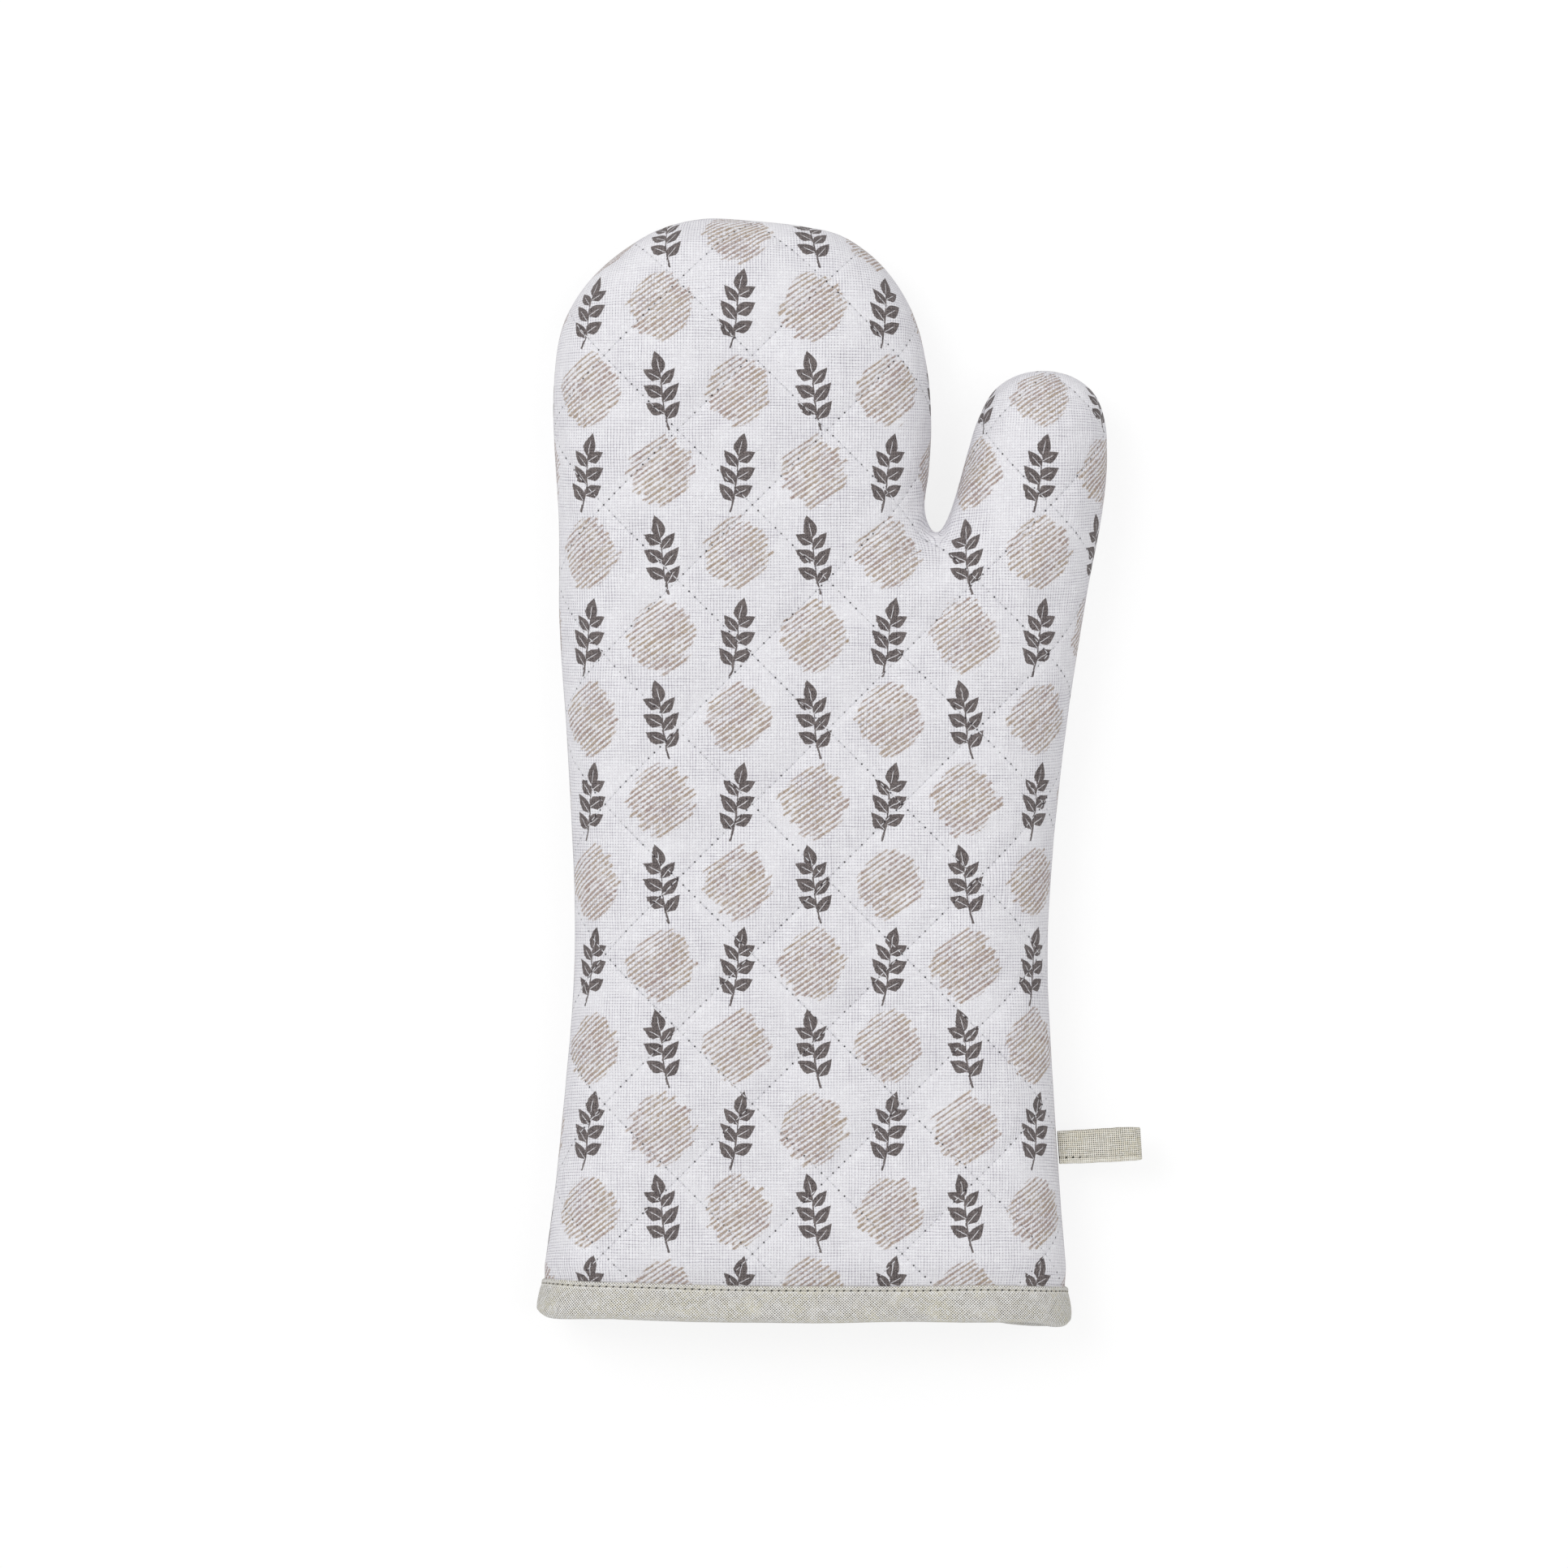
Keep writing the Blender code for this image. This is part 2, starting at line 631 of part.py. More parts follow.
def settle(pieces):
    """Set the middle of the whole glove over the origin, and its lowest point at zero height."""
    bpy.context.view_layer.update()
    graph = bpy.context.evaluated_depsgraph_get()
    places = []
    for piece in pieces:
        shape = piece.evaluated_get(graph)
        places += [tuple(piece.matrix_world @ point.co) for point in shape.to_mesh().vertices]
        shape.to_mesh_clear()
    low, high = np.min(places, axis=0), np.max(places, axis=0)
    middle = (low + high) / 2
    for piece in pieces:
        piece.location -= Vector((middle[0], middle[1], low[2]))


def clear_scene():
    """Remove everything that a new file starts with."""
    for thing in list(bpy.data.objects):
        bpy.data.objects.remove(thing)


def main():
    clear_scene()
    cloths = {
        "print": material("printed_cotton", (0.71, 0.70, 0.74), 0.92),
        "wadding": material("wadding", (0.84, 0.83, 0.80), 1.0),
        "lining": material("lining_cotton", (0.76, 0.75, 0.72), 0.95),
        "binding": material("bias_tape", (0.53, 0.51, 0.48), 0.93),
        "tape": material("loop_tape", (0.50, 0.47, 0.42), 0.93),
        "thread": material("sewing_thread", (0.80, 0.80, 0.78), 0.7),
    }
    plan = Plan()
    place = loop_frame(plan)
    pieces = [
        *panel(plan, "front", cloths),
        *panel(plan, "back", cloths),
        seam_allowance(plan, cloths["lining"]),
        cuff_binding(plan, cloths["binding"]),
        *binding_threads(plan, cloths["thread"]),
        hanging_loop(place, cloths["tape"]),
        loop_thread(place, cloths["thread"]),
    ]
    parts = bpy.data.collections.new("oven_glove")
    bpy.context.scene.collection.children.link(parts)
    for piece in pieces:
        parts.objects.link(piece)
    settle(pieces)


main()
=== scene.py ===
"""The looks of a quilted oven glove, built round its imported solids.

Lengths are in metres. The pieces are worked out on the glove's own plan, which is measured
across from the middle of the cuff, up from the cuff's edge, and out from the side seam.
`mesh_object` sets every piece down in the solids' frame.
"""

import json
import math

import bpy
import numpy as np
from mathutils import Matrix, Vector
from mathutils.bvhtree import BVHTree
from mathutils.geometry import barycentric_transform

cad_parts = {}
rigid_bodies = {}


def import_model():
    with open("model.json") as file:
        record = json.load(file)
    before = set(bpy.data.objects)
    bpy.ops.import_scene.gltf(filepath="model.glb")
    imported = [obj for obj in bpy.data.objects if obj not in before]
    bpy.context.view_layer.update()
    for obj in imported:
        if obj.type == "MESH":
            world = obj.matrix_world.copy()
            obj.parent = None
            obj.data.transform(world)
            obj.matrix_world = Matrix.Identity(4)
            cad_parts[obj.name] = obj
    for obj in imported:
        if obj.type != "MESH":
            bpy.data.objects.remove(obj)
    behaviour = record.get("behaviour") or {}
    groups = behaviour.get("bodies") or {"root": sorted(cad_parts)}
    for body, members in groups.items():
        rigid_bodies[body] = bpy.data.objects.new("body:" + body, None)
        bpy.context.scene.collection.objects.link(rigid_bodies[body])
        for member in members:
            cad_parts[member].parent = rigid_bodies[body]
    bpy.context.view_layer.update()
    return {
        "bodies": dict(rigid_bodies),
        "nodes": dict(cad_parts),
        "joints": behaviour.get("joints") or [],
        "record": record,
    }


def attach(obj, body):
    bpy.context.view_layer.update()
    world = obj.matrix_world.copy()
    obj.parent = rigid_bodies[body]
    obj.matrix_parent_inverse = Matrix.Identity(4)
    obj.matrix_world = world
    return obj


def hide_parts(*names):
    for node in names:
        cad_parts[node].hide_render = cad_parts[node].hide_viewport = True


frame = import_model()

MM = 0.001

# The side seam's outline, seen from the front
CLOTH_LENGTH = 348.4 * MM
CUFF_WIDTH = 169.6 * MM
WAIST_WIDTH = 150.5 * MM
WAIST_MIDDLE = 2.3 * MM
WAIST_HEIGHT = 114.4 * MM
FINGERS_LEFT = 79.7 * MM
FINGERS_WIDTH = 120.1 * MM
CROTCH = (41.9 * MM, 249.1 * MM)
CROTCH_WIDTH = 3.6 * MM
THUMB_RIGHT = 96.4 * MM
THUMB_WIDTH = 45.0 * MM
THUMB_HEIGHT = 300.4 * MM
CUFF_TO_WAIST = ((0.60, 0.30), (0.24, 0.65))
WAIST_TO_FINGERS = ((0.12, 0.29), (0.40, 0.54), (0.72, 0.80))
FINGERS = (
    (0.015, 0.02), (0.0, 0.42), (0.025, 0.655), (0.085, 0.785), (0.17, 0.885), (0.28, 0.965),
    (0.40, 1.0), (0.53, 0.994), (0.66, 0.976), (0.765, 0.945), (0.867, 0.856), (0.951, 0.705),
    (0.99, 0.53), (1.003, 0.34), (0.996, 0.19), (0.985, 0.075),
)
THUMB = (
    (-0.12, 0.13), (-0.06, 0.30), (0.007, 0.51), (0.076, 0.70), (0.19, 0.875), (0.35, 0.968),
    (0.54, 1.0), (0.74, 0.965), (0.90, 0.86), (0.98, 0.70), (1.0, 0.47), (0.97, 0.15),
)
THUMB_TO_WAIST = ((0.62, 0.82), (0.32, 0.545), (0.09, 0.25))

# The line up the middle of the glove, which forks into the fingers and the thumb
BRANCH = (30 * MM, 205 * MM)
FINGERS_MIDDLE = (-20 * MM, 288 * MM)
THUMB_MIDDLE = (74.5 * MM, 277 * MM)
RIGHT_OF_BRANCH = 200 * MM

# Each panel's rise, the width over which it rises, and how far its quilted squares stand up
SIDES = {"front": (1, 20.8 * MM, 30 * MM, 1.2 * MM), "back": (-1, 15.2 * MM, 27 * MM, 0.8 * MM)}
SEAM_SLIT = 0.12 * MM
SEAM_PULL = 0.55 * MM
PANEL_THICKNESS = 3.0 * MM
LINING_DEPTH = 3.3 * MM
LINING_THICKNESS = 0.4 * MM
REST_SOFTNESS = 0.12 * MM
SOFT_WAVE = 0.35 * MM

# The grid that the layers share, how its rows crowd at the seam, the rows that the plain layers
# use, and how far in the panel's rim turns
COLUMN_STEP = 1.35 * MM
ROWS = 62
SEAM_ROWS = 0.0936
INSIDE_ROWS = np.array([0, 2, 4, 7, 11, 16, 22, 29, 37, 45, 53, ROWS])
LINING_ROWS = np.array([0, 3, 6, 10, 15, 21, 28, 36, 45, 54, ROWS])
RIM_TURNS = (0.3 * MM, 1.2 * MM)

# The covers' cloth, which the wadding blows up: it is cut a hundredth too large, is held in
# even levels, and moves no farther than the limit
BLOWN_CLOTH = {
    "quality": 4, "mass": 0.3, "air_damping": 1.0, "tension_stiffness": 8,
    "compression_stiffness": 8, "shear_stiffness": 2, "bending_stiffness": 0.05,
    "use_pressure": True, "uniform_pressure_force": 3.0, "shrink_min": -0.01,
}
BLOWN_FRAMES = 12
HELD_LEVELS = 20
BLOWN_LIMIT = 1.3 * MM

# The quilting's squares, which stand on their corners, and its stitches
QUILT_PITCH = 33.5 * MM
QUILT_CROSSING = (7.4 * MM, 233.8 * MM)
STITCHES_PER_SQUARE = 13

# The threads: how thick each is, how deep its stitches' ends dive into the cloth, and how far
# above the cloth they lie
QUILT_THREAD = (0.34 * MM, 0.12 * MM)
BINDING_THREAD = (0.42 * MM, 0.25 * MM)
LOOP_THREAD = (0.34 * MM, 0.16 * MM)
THREAD_LIFT = 0.02 * MM

# The print, in millimetres: its oblong cells and where they start, the sprigs' leaves, the
# brush strokes, and how softly the ink ends
PRINT_CELL = (24.0, 26.0)
PRINT_START = (9.0, 5.0)
LEAF_SIZE = (7.8, 2.2)
LEAF_PITCH = 5.4
STROKE_PITCH = 1.5
INK_EDGE = 0.16

# The binding round the cuff
BINDING_PRESS = 1.4 * MM
BINDING_RANGE = 13.0 * MM
BINDING_THICKNESS = 0.7 * MM
BINDING_STITCH_DROP = 1.3 * MM
BINDING_STITCH = 2.28 * MM
BINDING_INSIDE = -4.75 * MM
BINDING_SLACK = 0.12 * MM
SECTION_STEPS = 3

# The binding's lower and upper edge on each panel: places across and up, in millimetres
BINDING_LOW = {
    "front": (
        (-84.8, 2.0), (-84.2, 1.3), (-82.5, 0.3), (-79.3, -0.2), (-76, -0.3), (-63, -0.35),
        (-49, -0.8), (-23, -1.35), (2, -1.55), (28, -1.35), (49, -1.35), (64, -1.35),
        (72, -1.5), (76, -1.9), (79.5, -2.6), (82, -2.7), (83.8, -2.3), (84.8, -1.4),
    ),
    "back": (
        (-84.8, 2.0), (-84.2, 1.3), (-82.5, 0.3), (-79, -0.5), (-70, -1.3), (-35, -1.7),
        (0, -1.9), (50, -2.0), (60, -2.4), (67, -3.2), (74, -3.4), (79.5, -3.0), (82, -2.7),
        (83.8, -2.3), (84.8, -1.4),
    ),
}
BINDING_HIGH = {
    "front": (
        (-84.8, 12.9), (-81.4, 12.5), (-71, 11.8), (-63, 11.5), (-40, 10.8), (-15, 10.25),
        (33, 10.15), (49, 10.35), (81, 10.15), (84.8, 10.1),
    ),
    "back": ((-84.8, 12.9), (-80, 12.3), (-50, 11.2), (0, 10.6), (50, 10.4), (84.8, 10.1)),
}
BINDING_COVER = 1.0 * MM
CUFF_FADE = 30 * MM

# The hanging loop, whose hinge stands off the seam by its gap and half its root. It lies lower
# than the hinge's middle by its drop, and sags by a share of its length.
LOOP_HEIGHT = 55.4 * MM
LOOP_STANDOFF = 1.7 * MM
LOOP_DROP = 1.2 * MM
LOOP_SAG = 0.013
LOOP_WIDTH = 10.4 * MM
LOOP_TAPE = 1.0 * MM
LOOP_STITCH_EDGE = 2.0 * MM
LOOP_STITCH = 2.2 * MM

# How far along the loop the painted shade of its needle holes goes, in millimetres
LOOP_SEWN_TO = 5.5

# The tapes' palest, mean, warm and darkest tones
BIAS_TONES = ((255, 254, 251), (241, 238, 232), (243, 239, 223), (24, 22, 19))
LOOP_TONES = ((253, 250, 240), (240, 235, 222), (243, 237, 218), (54, 51, 45))

# The ridge of the layers' cut edges: how far in it starts, and half the depth and height of it
# and of the thread's turns round it
RIDGE_FROM_SEAM = 4.6 * MM
RIDGE = (2.5 * MM, 2.1 * MM)
OVERLOCK = (2.75 * MM, 2.35 * MM)
OVERLOCK_PITCH = 2.6 * MM

# The camera's foot on the plan, and its height above the side seam. The front's places on the
# plan are where this camera sees them.
CAMERA_FOOT = (-6.29 * MM, 169.2 * MM)
CAMERA_HEIGHT = 1.378

# The lamps' names, places, sizes and powers
LAMPS = (
    ("soft_lamp_left", (-1.3, 0.9, 2.2), 1.3, 26.0),
    ("soft_lamp_right", (1.5, 0.2, 2.4), 1.6, 12.0),
)

HINGE = Vector(frame["record"]["behaviour"]["joints"][0]["pos_m"])


# Numbers and lines


def wave(place, seed, longest):
    """A soft wave between about -1 and 1: a sum of sines of falling length in turned directions."""
    total = 0
    for n in range(5):
        angle = 2.4 * n + seed
        way = np.array([math.cos(angle), math.sin(angle)])
        total = total + np.sin(2 * math.pi * (1 + 0.37 * n) * (place @ way) / longest + n * seed)
    return total / 2.6


def wave_along(length, seed, longest):
    """The same soft wave at lengths along a line."""
    return wave(np.column_stack([length, 0 * length]), seed, longest)


def bell(value, width):
    """1 at 0, falling on both sides: e to the power of minus the square of value over width."""
    return np.exp(-((value / width) ** 2))


def smooth(low, high, value):
    """0 below low, 1 above high, and an S-shaped step between them."""
    share = np.clip((value - low) / (high - low), 0, 1)
    return share * share * (3 - 2 * share)


def between(start, end, shares):
    """Points from start to end, each at its share across and its share up."""
    start, end = np.array(start), np.array(end)
    return start + np.array(shares) * (end - start)


def unit(vectors):
    """The same directions, each of length 1."""
    return vectors / np.maximum(np.linalg.norm(vectors, axis=-1, keepdims=True), 1e-12)


def curve_through(points, steps):
    """A centripetal Catmull-Rom curve: each stretch blends the runs beside it by root distance."""
    points = np.array(points, float)
    ends = np.vstack([2 * points[0] - points[1], points, 2 * points[-1] - points[-2]])
    runs = np.sqrt(np.linalg.norm(np.diff(ends, axis=0), axis=1))
    a, b, c, d = (ends[k : len(ends) - 3 + k, None] for k in range(4))
    t1 = runs[:-2, None]
    t2 = t1 + runs[1:-1, None]
    t3 = t2 + runs[2:, None]
    t = t1 + (t2 - t1) * np.linspace(0, 1, steps, endpoint=False)

    def mix(p, q, low, high):
        return p + (q - p) * ((t - low) / (high - low))[..., None]

    ab, bc, cd = mix(a, b, 0 * t1, t1), mix(b, c, t1, t2), mix(c, d, t2, t3)
    curve = mix(mix(ab, bc, 0 * t1, t2), mix(bc, cd, t1, t3), t1, t2)
    return np.vstack([curve.reshape(-1, points.shape[1]), points[-1:]])


def along(line):
    """The length along a line at each of its points."""
    return np.concatenate([[0], np.cumsum(np.linalg.norm(np.diff(line, axis=0), axis=1))])


def read_off(places, given, rows):
    """The rows of a table at places between the places at which they are given."""
    return np.stack([np.interp(places, given, column) for column in rows.T], axis=1)


def spread(line, places):
    """The points of a line at these lengths along it."""
    return read_off(places, along(line), line)


def seam_outline():
    """The side seam from the cuff's left end round to its right end, in fine even steps."""
    cuff_left, cuff_right = (-CUFF_WIDTH / 2, 0), (CUFF_WIDTH / 2, 0)
    waist_left = (WAIST_MIDDLE - WAIST_WIDTH / 2, WAIST_HEIGHT)
    waist_right = (WAIST_MIDDLE + WAIST_WIDTH / 2, WAIST_HEIGHT)
    fingers_low, thumb_low = (-FINGERS_LEFT, CROTCH[1]), (THUMB_RIGHT - THUMB_WIDTH, CROTCH[1])
    half = CROTCH_WIDTH / 2
    up = [(across, 1 - share) for across, share in CUFF_TO_WAIST]
    points = [
        [cuff_left],
        between(waist_left, cuff_left, up),
        [waist_left],
        between(waist_left, fingers_low, WAIST_TO_FINGERS),
        between(fingers_low, (FINGERS_WIDTH - FINGERS_LEFT, CLOTH_LENGTH), FINGERS),
        [(CROTCH[0] - half, CROTCH[1] + half), CROTCH, (CROTCH[0] + half, CROTCH[1] + half)],
        between(thumb_low, (THUMB_RIGHT, THUMB_HEIGHT), THUMB),
        between(waist_right, (THUMB_RIGHT, CROTCH[1]), THUMB_TO_WAIST),
        [waist_right],
        between(waist_right, cuff_right, up[::-1]),
        [cuff_right],
    ]
    line = curve_through(np.vstack(points), 24)
    length = along(line)[-1]
    return spread(line, np.linspace(0, length, round(length / (0.5 * MM))))


SEAM = seam_outline()
COARSE_SEAM = np.vstack([SEAM[0] - (0, 0.4), SEAM[:-3:5], SEAM[-1], SEAM[-1] - (0, 0.4)])
SEAM_IN = unit(np.gradient(SEAM, axis=0))[:, ::-1] * (1, -1)


def loop_frame():
    """The loop's hinge on the plan, and the way out from the seam there."""
    right = len(SEAM) * 3 // 4
    nearest = right + np.argmin(np.abs(SEAM[right:, 1] - LOOP_HEIGHT))
    out = -SEAM_IN[nearest]
    return SEAM[nearest] + LOOP_STANDOFF * out, out


LOOP_HINGE, LOOP_OUT = loop_frame()
PLACE = np.array(HINGE) - (*LOOP_HINGE, 0)


def seam_distance(points):
    """A smooth distance from the seam: the distance to the power -4, summed along the seam, has
    an exact value for each straight run, and the sum's power -1/3 grows from the seam inwards."""
    start, run = COARSE_SEAM[:-1], np.diff(COARSE_SEAM, axis=0)
    length = np.linalg.norm(run, axis=1)
    ways = run / length[:, None]
    distances = []
    for part in np.array_split(points, 1 + len(points) // 3000):
        x = part[:, :1] - start[:, 0]
        y = part[:, 1:] - start[:, 1]
        down = x * ways[:, 0] + y * ways[:, 1]
        off = np.maximum(np.abs(x * ways[:, 1] - y * ways[:, 0]), 1e-6)
        square = off * off
        total = 0
        for s, sign in ((length - down, 1), (-down, -1)):
            exact = s / (2 * square * (square + s * s)) + np.arctan(s / off) / (2 * square * off)
            total = total + sign * exact
        distances.append((2 * total.sum(1) / math.pi) ** (-1 / 3))
    return np.concatenate(distances)


def seam_slope(points):
    """The smooth distance at each point, and the unit direction in which it grows."""
    step = 0.02 * MM
    here = seam_distance(points)
    across = seam_distance(points + (step, 0)) - here
    up = seam_distance(points + (0, step)) - here
    return here, unit(np.stack([across, up], axis=1))


def rise_lengths(distance, rise, span):
    """How much longer the cloth is than the plan from each distance in to the top of the rise,
    where the rise is a quarter ellipse."""
    turn = np.linspace(0, math.pi / 2, 400)
    speed = np.hypot(span * np.sin(turn), rise * np.cos(turn))
    arc = np.concatenate([[0], np.cumsum((speed[1:] + speed[:-1]) / 2 * np.diff(turn))])
    distance = np.minimum(distance, span)
    return np.interp(distance, span * (1 - np.cos(turn)), arc[-1] - arc) - (span - distance)


# The plan that all layers of both panels share


class Plan:
    """A grid of points: columns along the seam, each with rows in to the glove's middle line.

    The columns of both sides end on that line and share its points, which come last."""

    def __init__(self):
        at = along(SEAM)
        top = np.argmax(SEAM[:, 1])
        crotch = np.argmin(np.hypot(*(SEAM - CROTCH).T))
        tip = crotch + np.argmax(SEAM[crotch:, 1])

        def seam_at(height, first, last):
            return at[first + np.argmin(np.abs(SEAM[first:last, 1] - height))]

        notch = CROTCH[1] + CROTCH_WIDTH / 2
        stretches = (
            (0, top, (BRANCH[1], FINGERS_MIDDLE[1])),
            (top, crotch, (FINGERS_MIDDLE[1], notch)),
            (crotch, tip, (notch, THUMB_MIDDLE[1])),
            (tip, len(SEAM), (THUMB_MIDDLE[1], RIGHT_OF_BRANCH)),
        )
        marks = [seam_at(height, *ends) for *ends, heights in stretches for height in heights]
        marks = [0, *marks, at[-1]]
        # Even numbers, so that every second column and row is a whole grid too
        counts = [
            max(14, 2 * round((b - a) / COLUMN_STEP / 2)) for a, b in zip(marks, marks[1:])
        ]
        trunk, fingers, thumb = counts[0], counts[1], max(counts[5], counts[7])
        counts[8], counts[3], counts[5], counts[7] = trunk, fingers, thumb, thumb
        fingers_end = trunk + fingers
        thumb_end = fingers_end + thumb
        middle = [between((0, 0), BRANCH, np.linspace(0, 1, trunk + 1)[:, None])]
        for end, steps in ((FINGERS_MIDDLE, fingers), (THUMB_MIDDLE, thumb)):
            middle.append(between(BRANCH, end, np.linspace(0, 1, steps + 1)[1:, None]))
        middle = np.vstack(middle)
        # The number of the middle line's point at which each column ends
        ends = [
            np.arange(fingers_end), np.full(counts[2], fingers_end),
            fingers_end - np.arange(fingers), np.full(counts[4] + 1, trunk),
            fingers_end + 1 + np.arange(thumb - 1), np.full(counts[6], thumb_end),
            thumb_end - np.arange(thumb), trunk - np.arange(trunk + 1),
        ]
        ends = np.concatenate(ends)
        places = [
            a + (b - a) * np.arange(count) / count for a, b, count in zip(marks, marks[1:], counts)
        ]
        place = np.concatenate([*places, [at[-1]]])
        # The rows lie closer together near the seam
        share = np.arange(ROWS) / ROWS
        share = (share - SEAM_ROWS * (1 - np.exp(-share / 0.12))) / (1 - SEAM_ROWS)
        seam = spread(SEAM, place)
        grid = seam[:, None] + share[:, None] * (middle[ends] - seam)[:, None]
        columns = len(place)
        self.crotch = np.argmin(np.abs(place - at[crotch]))
        self.points = np.vstack([grid.reshape(-1, 2), middle])
        self.ids = np.column_stack(
            [np.arange(columns * ROWS).reshape(columns, ROWS), columns * ROWS + ends]
        )
        self.place = np.concatenate([np.repeat(place, ROWS), np.zeros(len(middle))])
        on_seam = self.ids[:, 0]
        inside = self.points.copy()
        inside[on_seam] = self.points[self.ids[:, 1]]
        self.distance, self.inwards = seam_slope(inside)
        self.distance[on_seam] = 0
        self.inwards[on_seam] = read_off(place, at, SEAM_IN)
        # Beside the binding it points straight across
        self.inwards[:, 1] *= smooth(BINDING_RANGE, 2 * BINDING_RANGE, self.points[:, 1])
        self.inwards = unit(self.inwards)
        self.blown = {side: np.zeros(len(self.points)) for side in SIDES}


def binding_edge(table, side, across):
    """The height of one of the binding's edges at places across the cuff."""
    line = curve_through(np.array(table[side], float), 8) * MM
    return np.interp(across, line[:, 0], line[:, 1])


def rising(points, distance, inwards, side):
    """A panel's plain surface: a quarter ellipse that rises from the seam, with its normals.

    At the cuff it ends inside the binding, whose edge isn't straight. A point of the front is
    moved towards the camera's foot by its height's share of the camera's height, so that it is
    seen at its place on the plan."""
    sign, rise, span, _ = SIDES[side]
    level = 1 - np.clip(distance / span, 0, 1)
    height = np.sqrt(1 - level**2)
    normals = unit(np.column_stack([-rise * level[:, None] * inwards, span * height]))
    surface = np.column_stack([points, rise * height + SEAM_SLIT / 2])
    edge = binding_edge(BINDING_LOW, side, points[:, 0]) + BINDING_COVER
    surface[:, 1] += edge * np.clip(1 - points[:, 1] / CUFF_FADE, 0, 1) ** 2
    if side == "front":
        share = surface[:, 2:] / CAMERA_HEIGHT
        surface[:, :2] += (np.array(CAMERA_FOOT) - surface[:, :2]) * share
    return surface * (1, 1, sign), normals * (1, 1, sign)


def lattice(flat):
    """Places on the cloth in units of the quilting's squares, along its two sewn directions."""
    across, up = (flat - QUILT_CROSSING).T / QUILT_PITCH / math.sqrt(2)
    return np.stack([up + across, up - across], axis=1)


def drawn_puff(flat):
    """How far each quilted square stands up, from 0 on its sewn lines to 1 at its middle: the
    product of a steep rounded rise from each pair of lines."""
    off = np.abs(lattice(flat) - np.rint(lattice(flat))) * 2
    rise = 1 - (1 - off) ** 3.2
    return np.sqrt(rise[:, 0] * rise[:, 1])


def cloth_surface(plan, side, depth=0.0, quilted=True):
    """One layer's surface at a depth below the panel's plain one, with its place on flat cloth.

    The quilted squares, the folds that the seam draws in and the cloth's own soft waves move it
    along its normals, and the binding presses it in at the cuff."""
    sign, rise, span, puff = SIDES[side]
    surface, normals = rising(plan.points, plan.distance, plan.inwards, side)
    longer = rise_lengths(plan.distance, rise, span)
    flat = plan.points - longer[:, None] * plan.inwards
    loft = np.clip(plan.distance / span, 0, 1)
    lift = -depth * np.ones(len(flat))
    if quilted:
        near = np.exp(-plan.distance / (6 * MM)) * smooth(0, 1.5 * MM, plan.distance)
        lift += puff * drawn_puff(flat) * (0.1 + 0.9 * np.sqrt(loft))
        lift -= SEAM_PULL * np.exp(-plan.distance / (8 * MM))
        lift += SOFT_WAVE * wave_along(plan.place, 1.3, 17 * MM) * near
        lift += SOFT_WAVE * wave(flat, 0.7 + sign, 88 * MM) * loft
        lift += plan.blown[side]
        press = 1 - smooth(BINDING_RANGE - 4 * MM, BINDING_RANGE + 5 * MM, plan.points[:, 1])
        lift = lift * (1 - press) - BINDING_PRESS * press
    surface = surface + lift[:, None] * normals
    if side == "back":
        # It lies on the floor, which flattens the squares' middles
        above = (surface[:, 2] + PLACE[2]) / REST_SOFTNESS
        surface[:, 2] = REST_SOFTNESS * np.logaddexp(0, above) - PLACE[2]
    return surface, normals, flat


def from_sewn_line(flat):
    """The distance on the cloth from the nearest sewn line."""
    return np.abs(lattice(flat) - np.rint(lattice(flat))).min(axis=1) * QUILT_PITCH


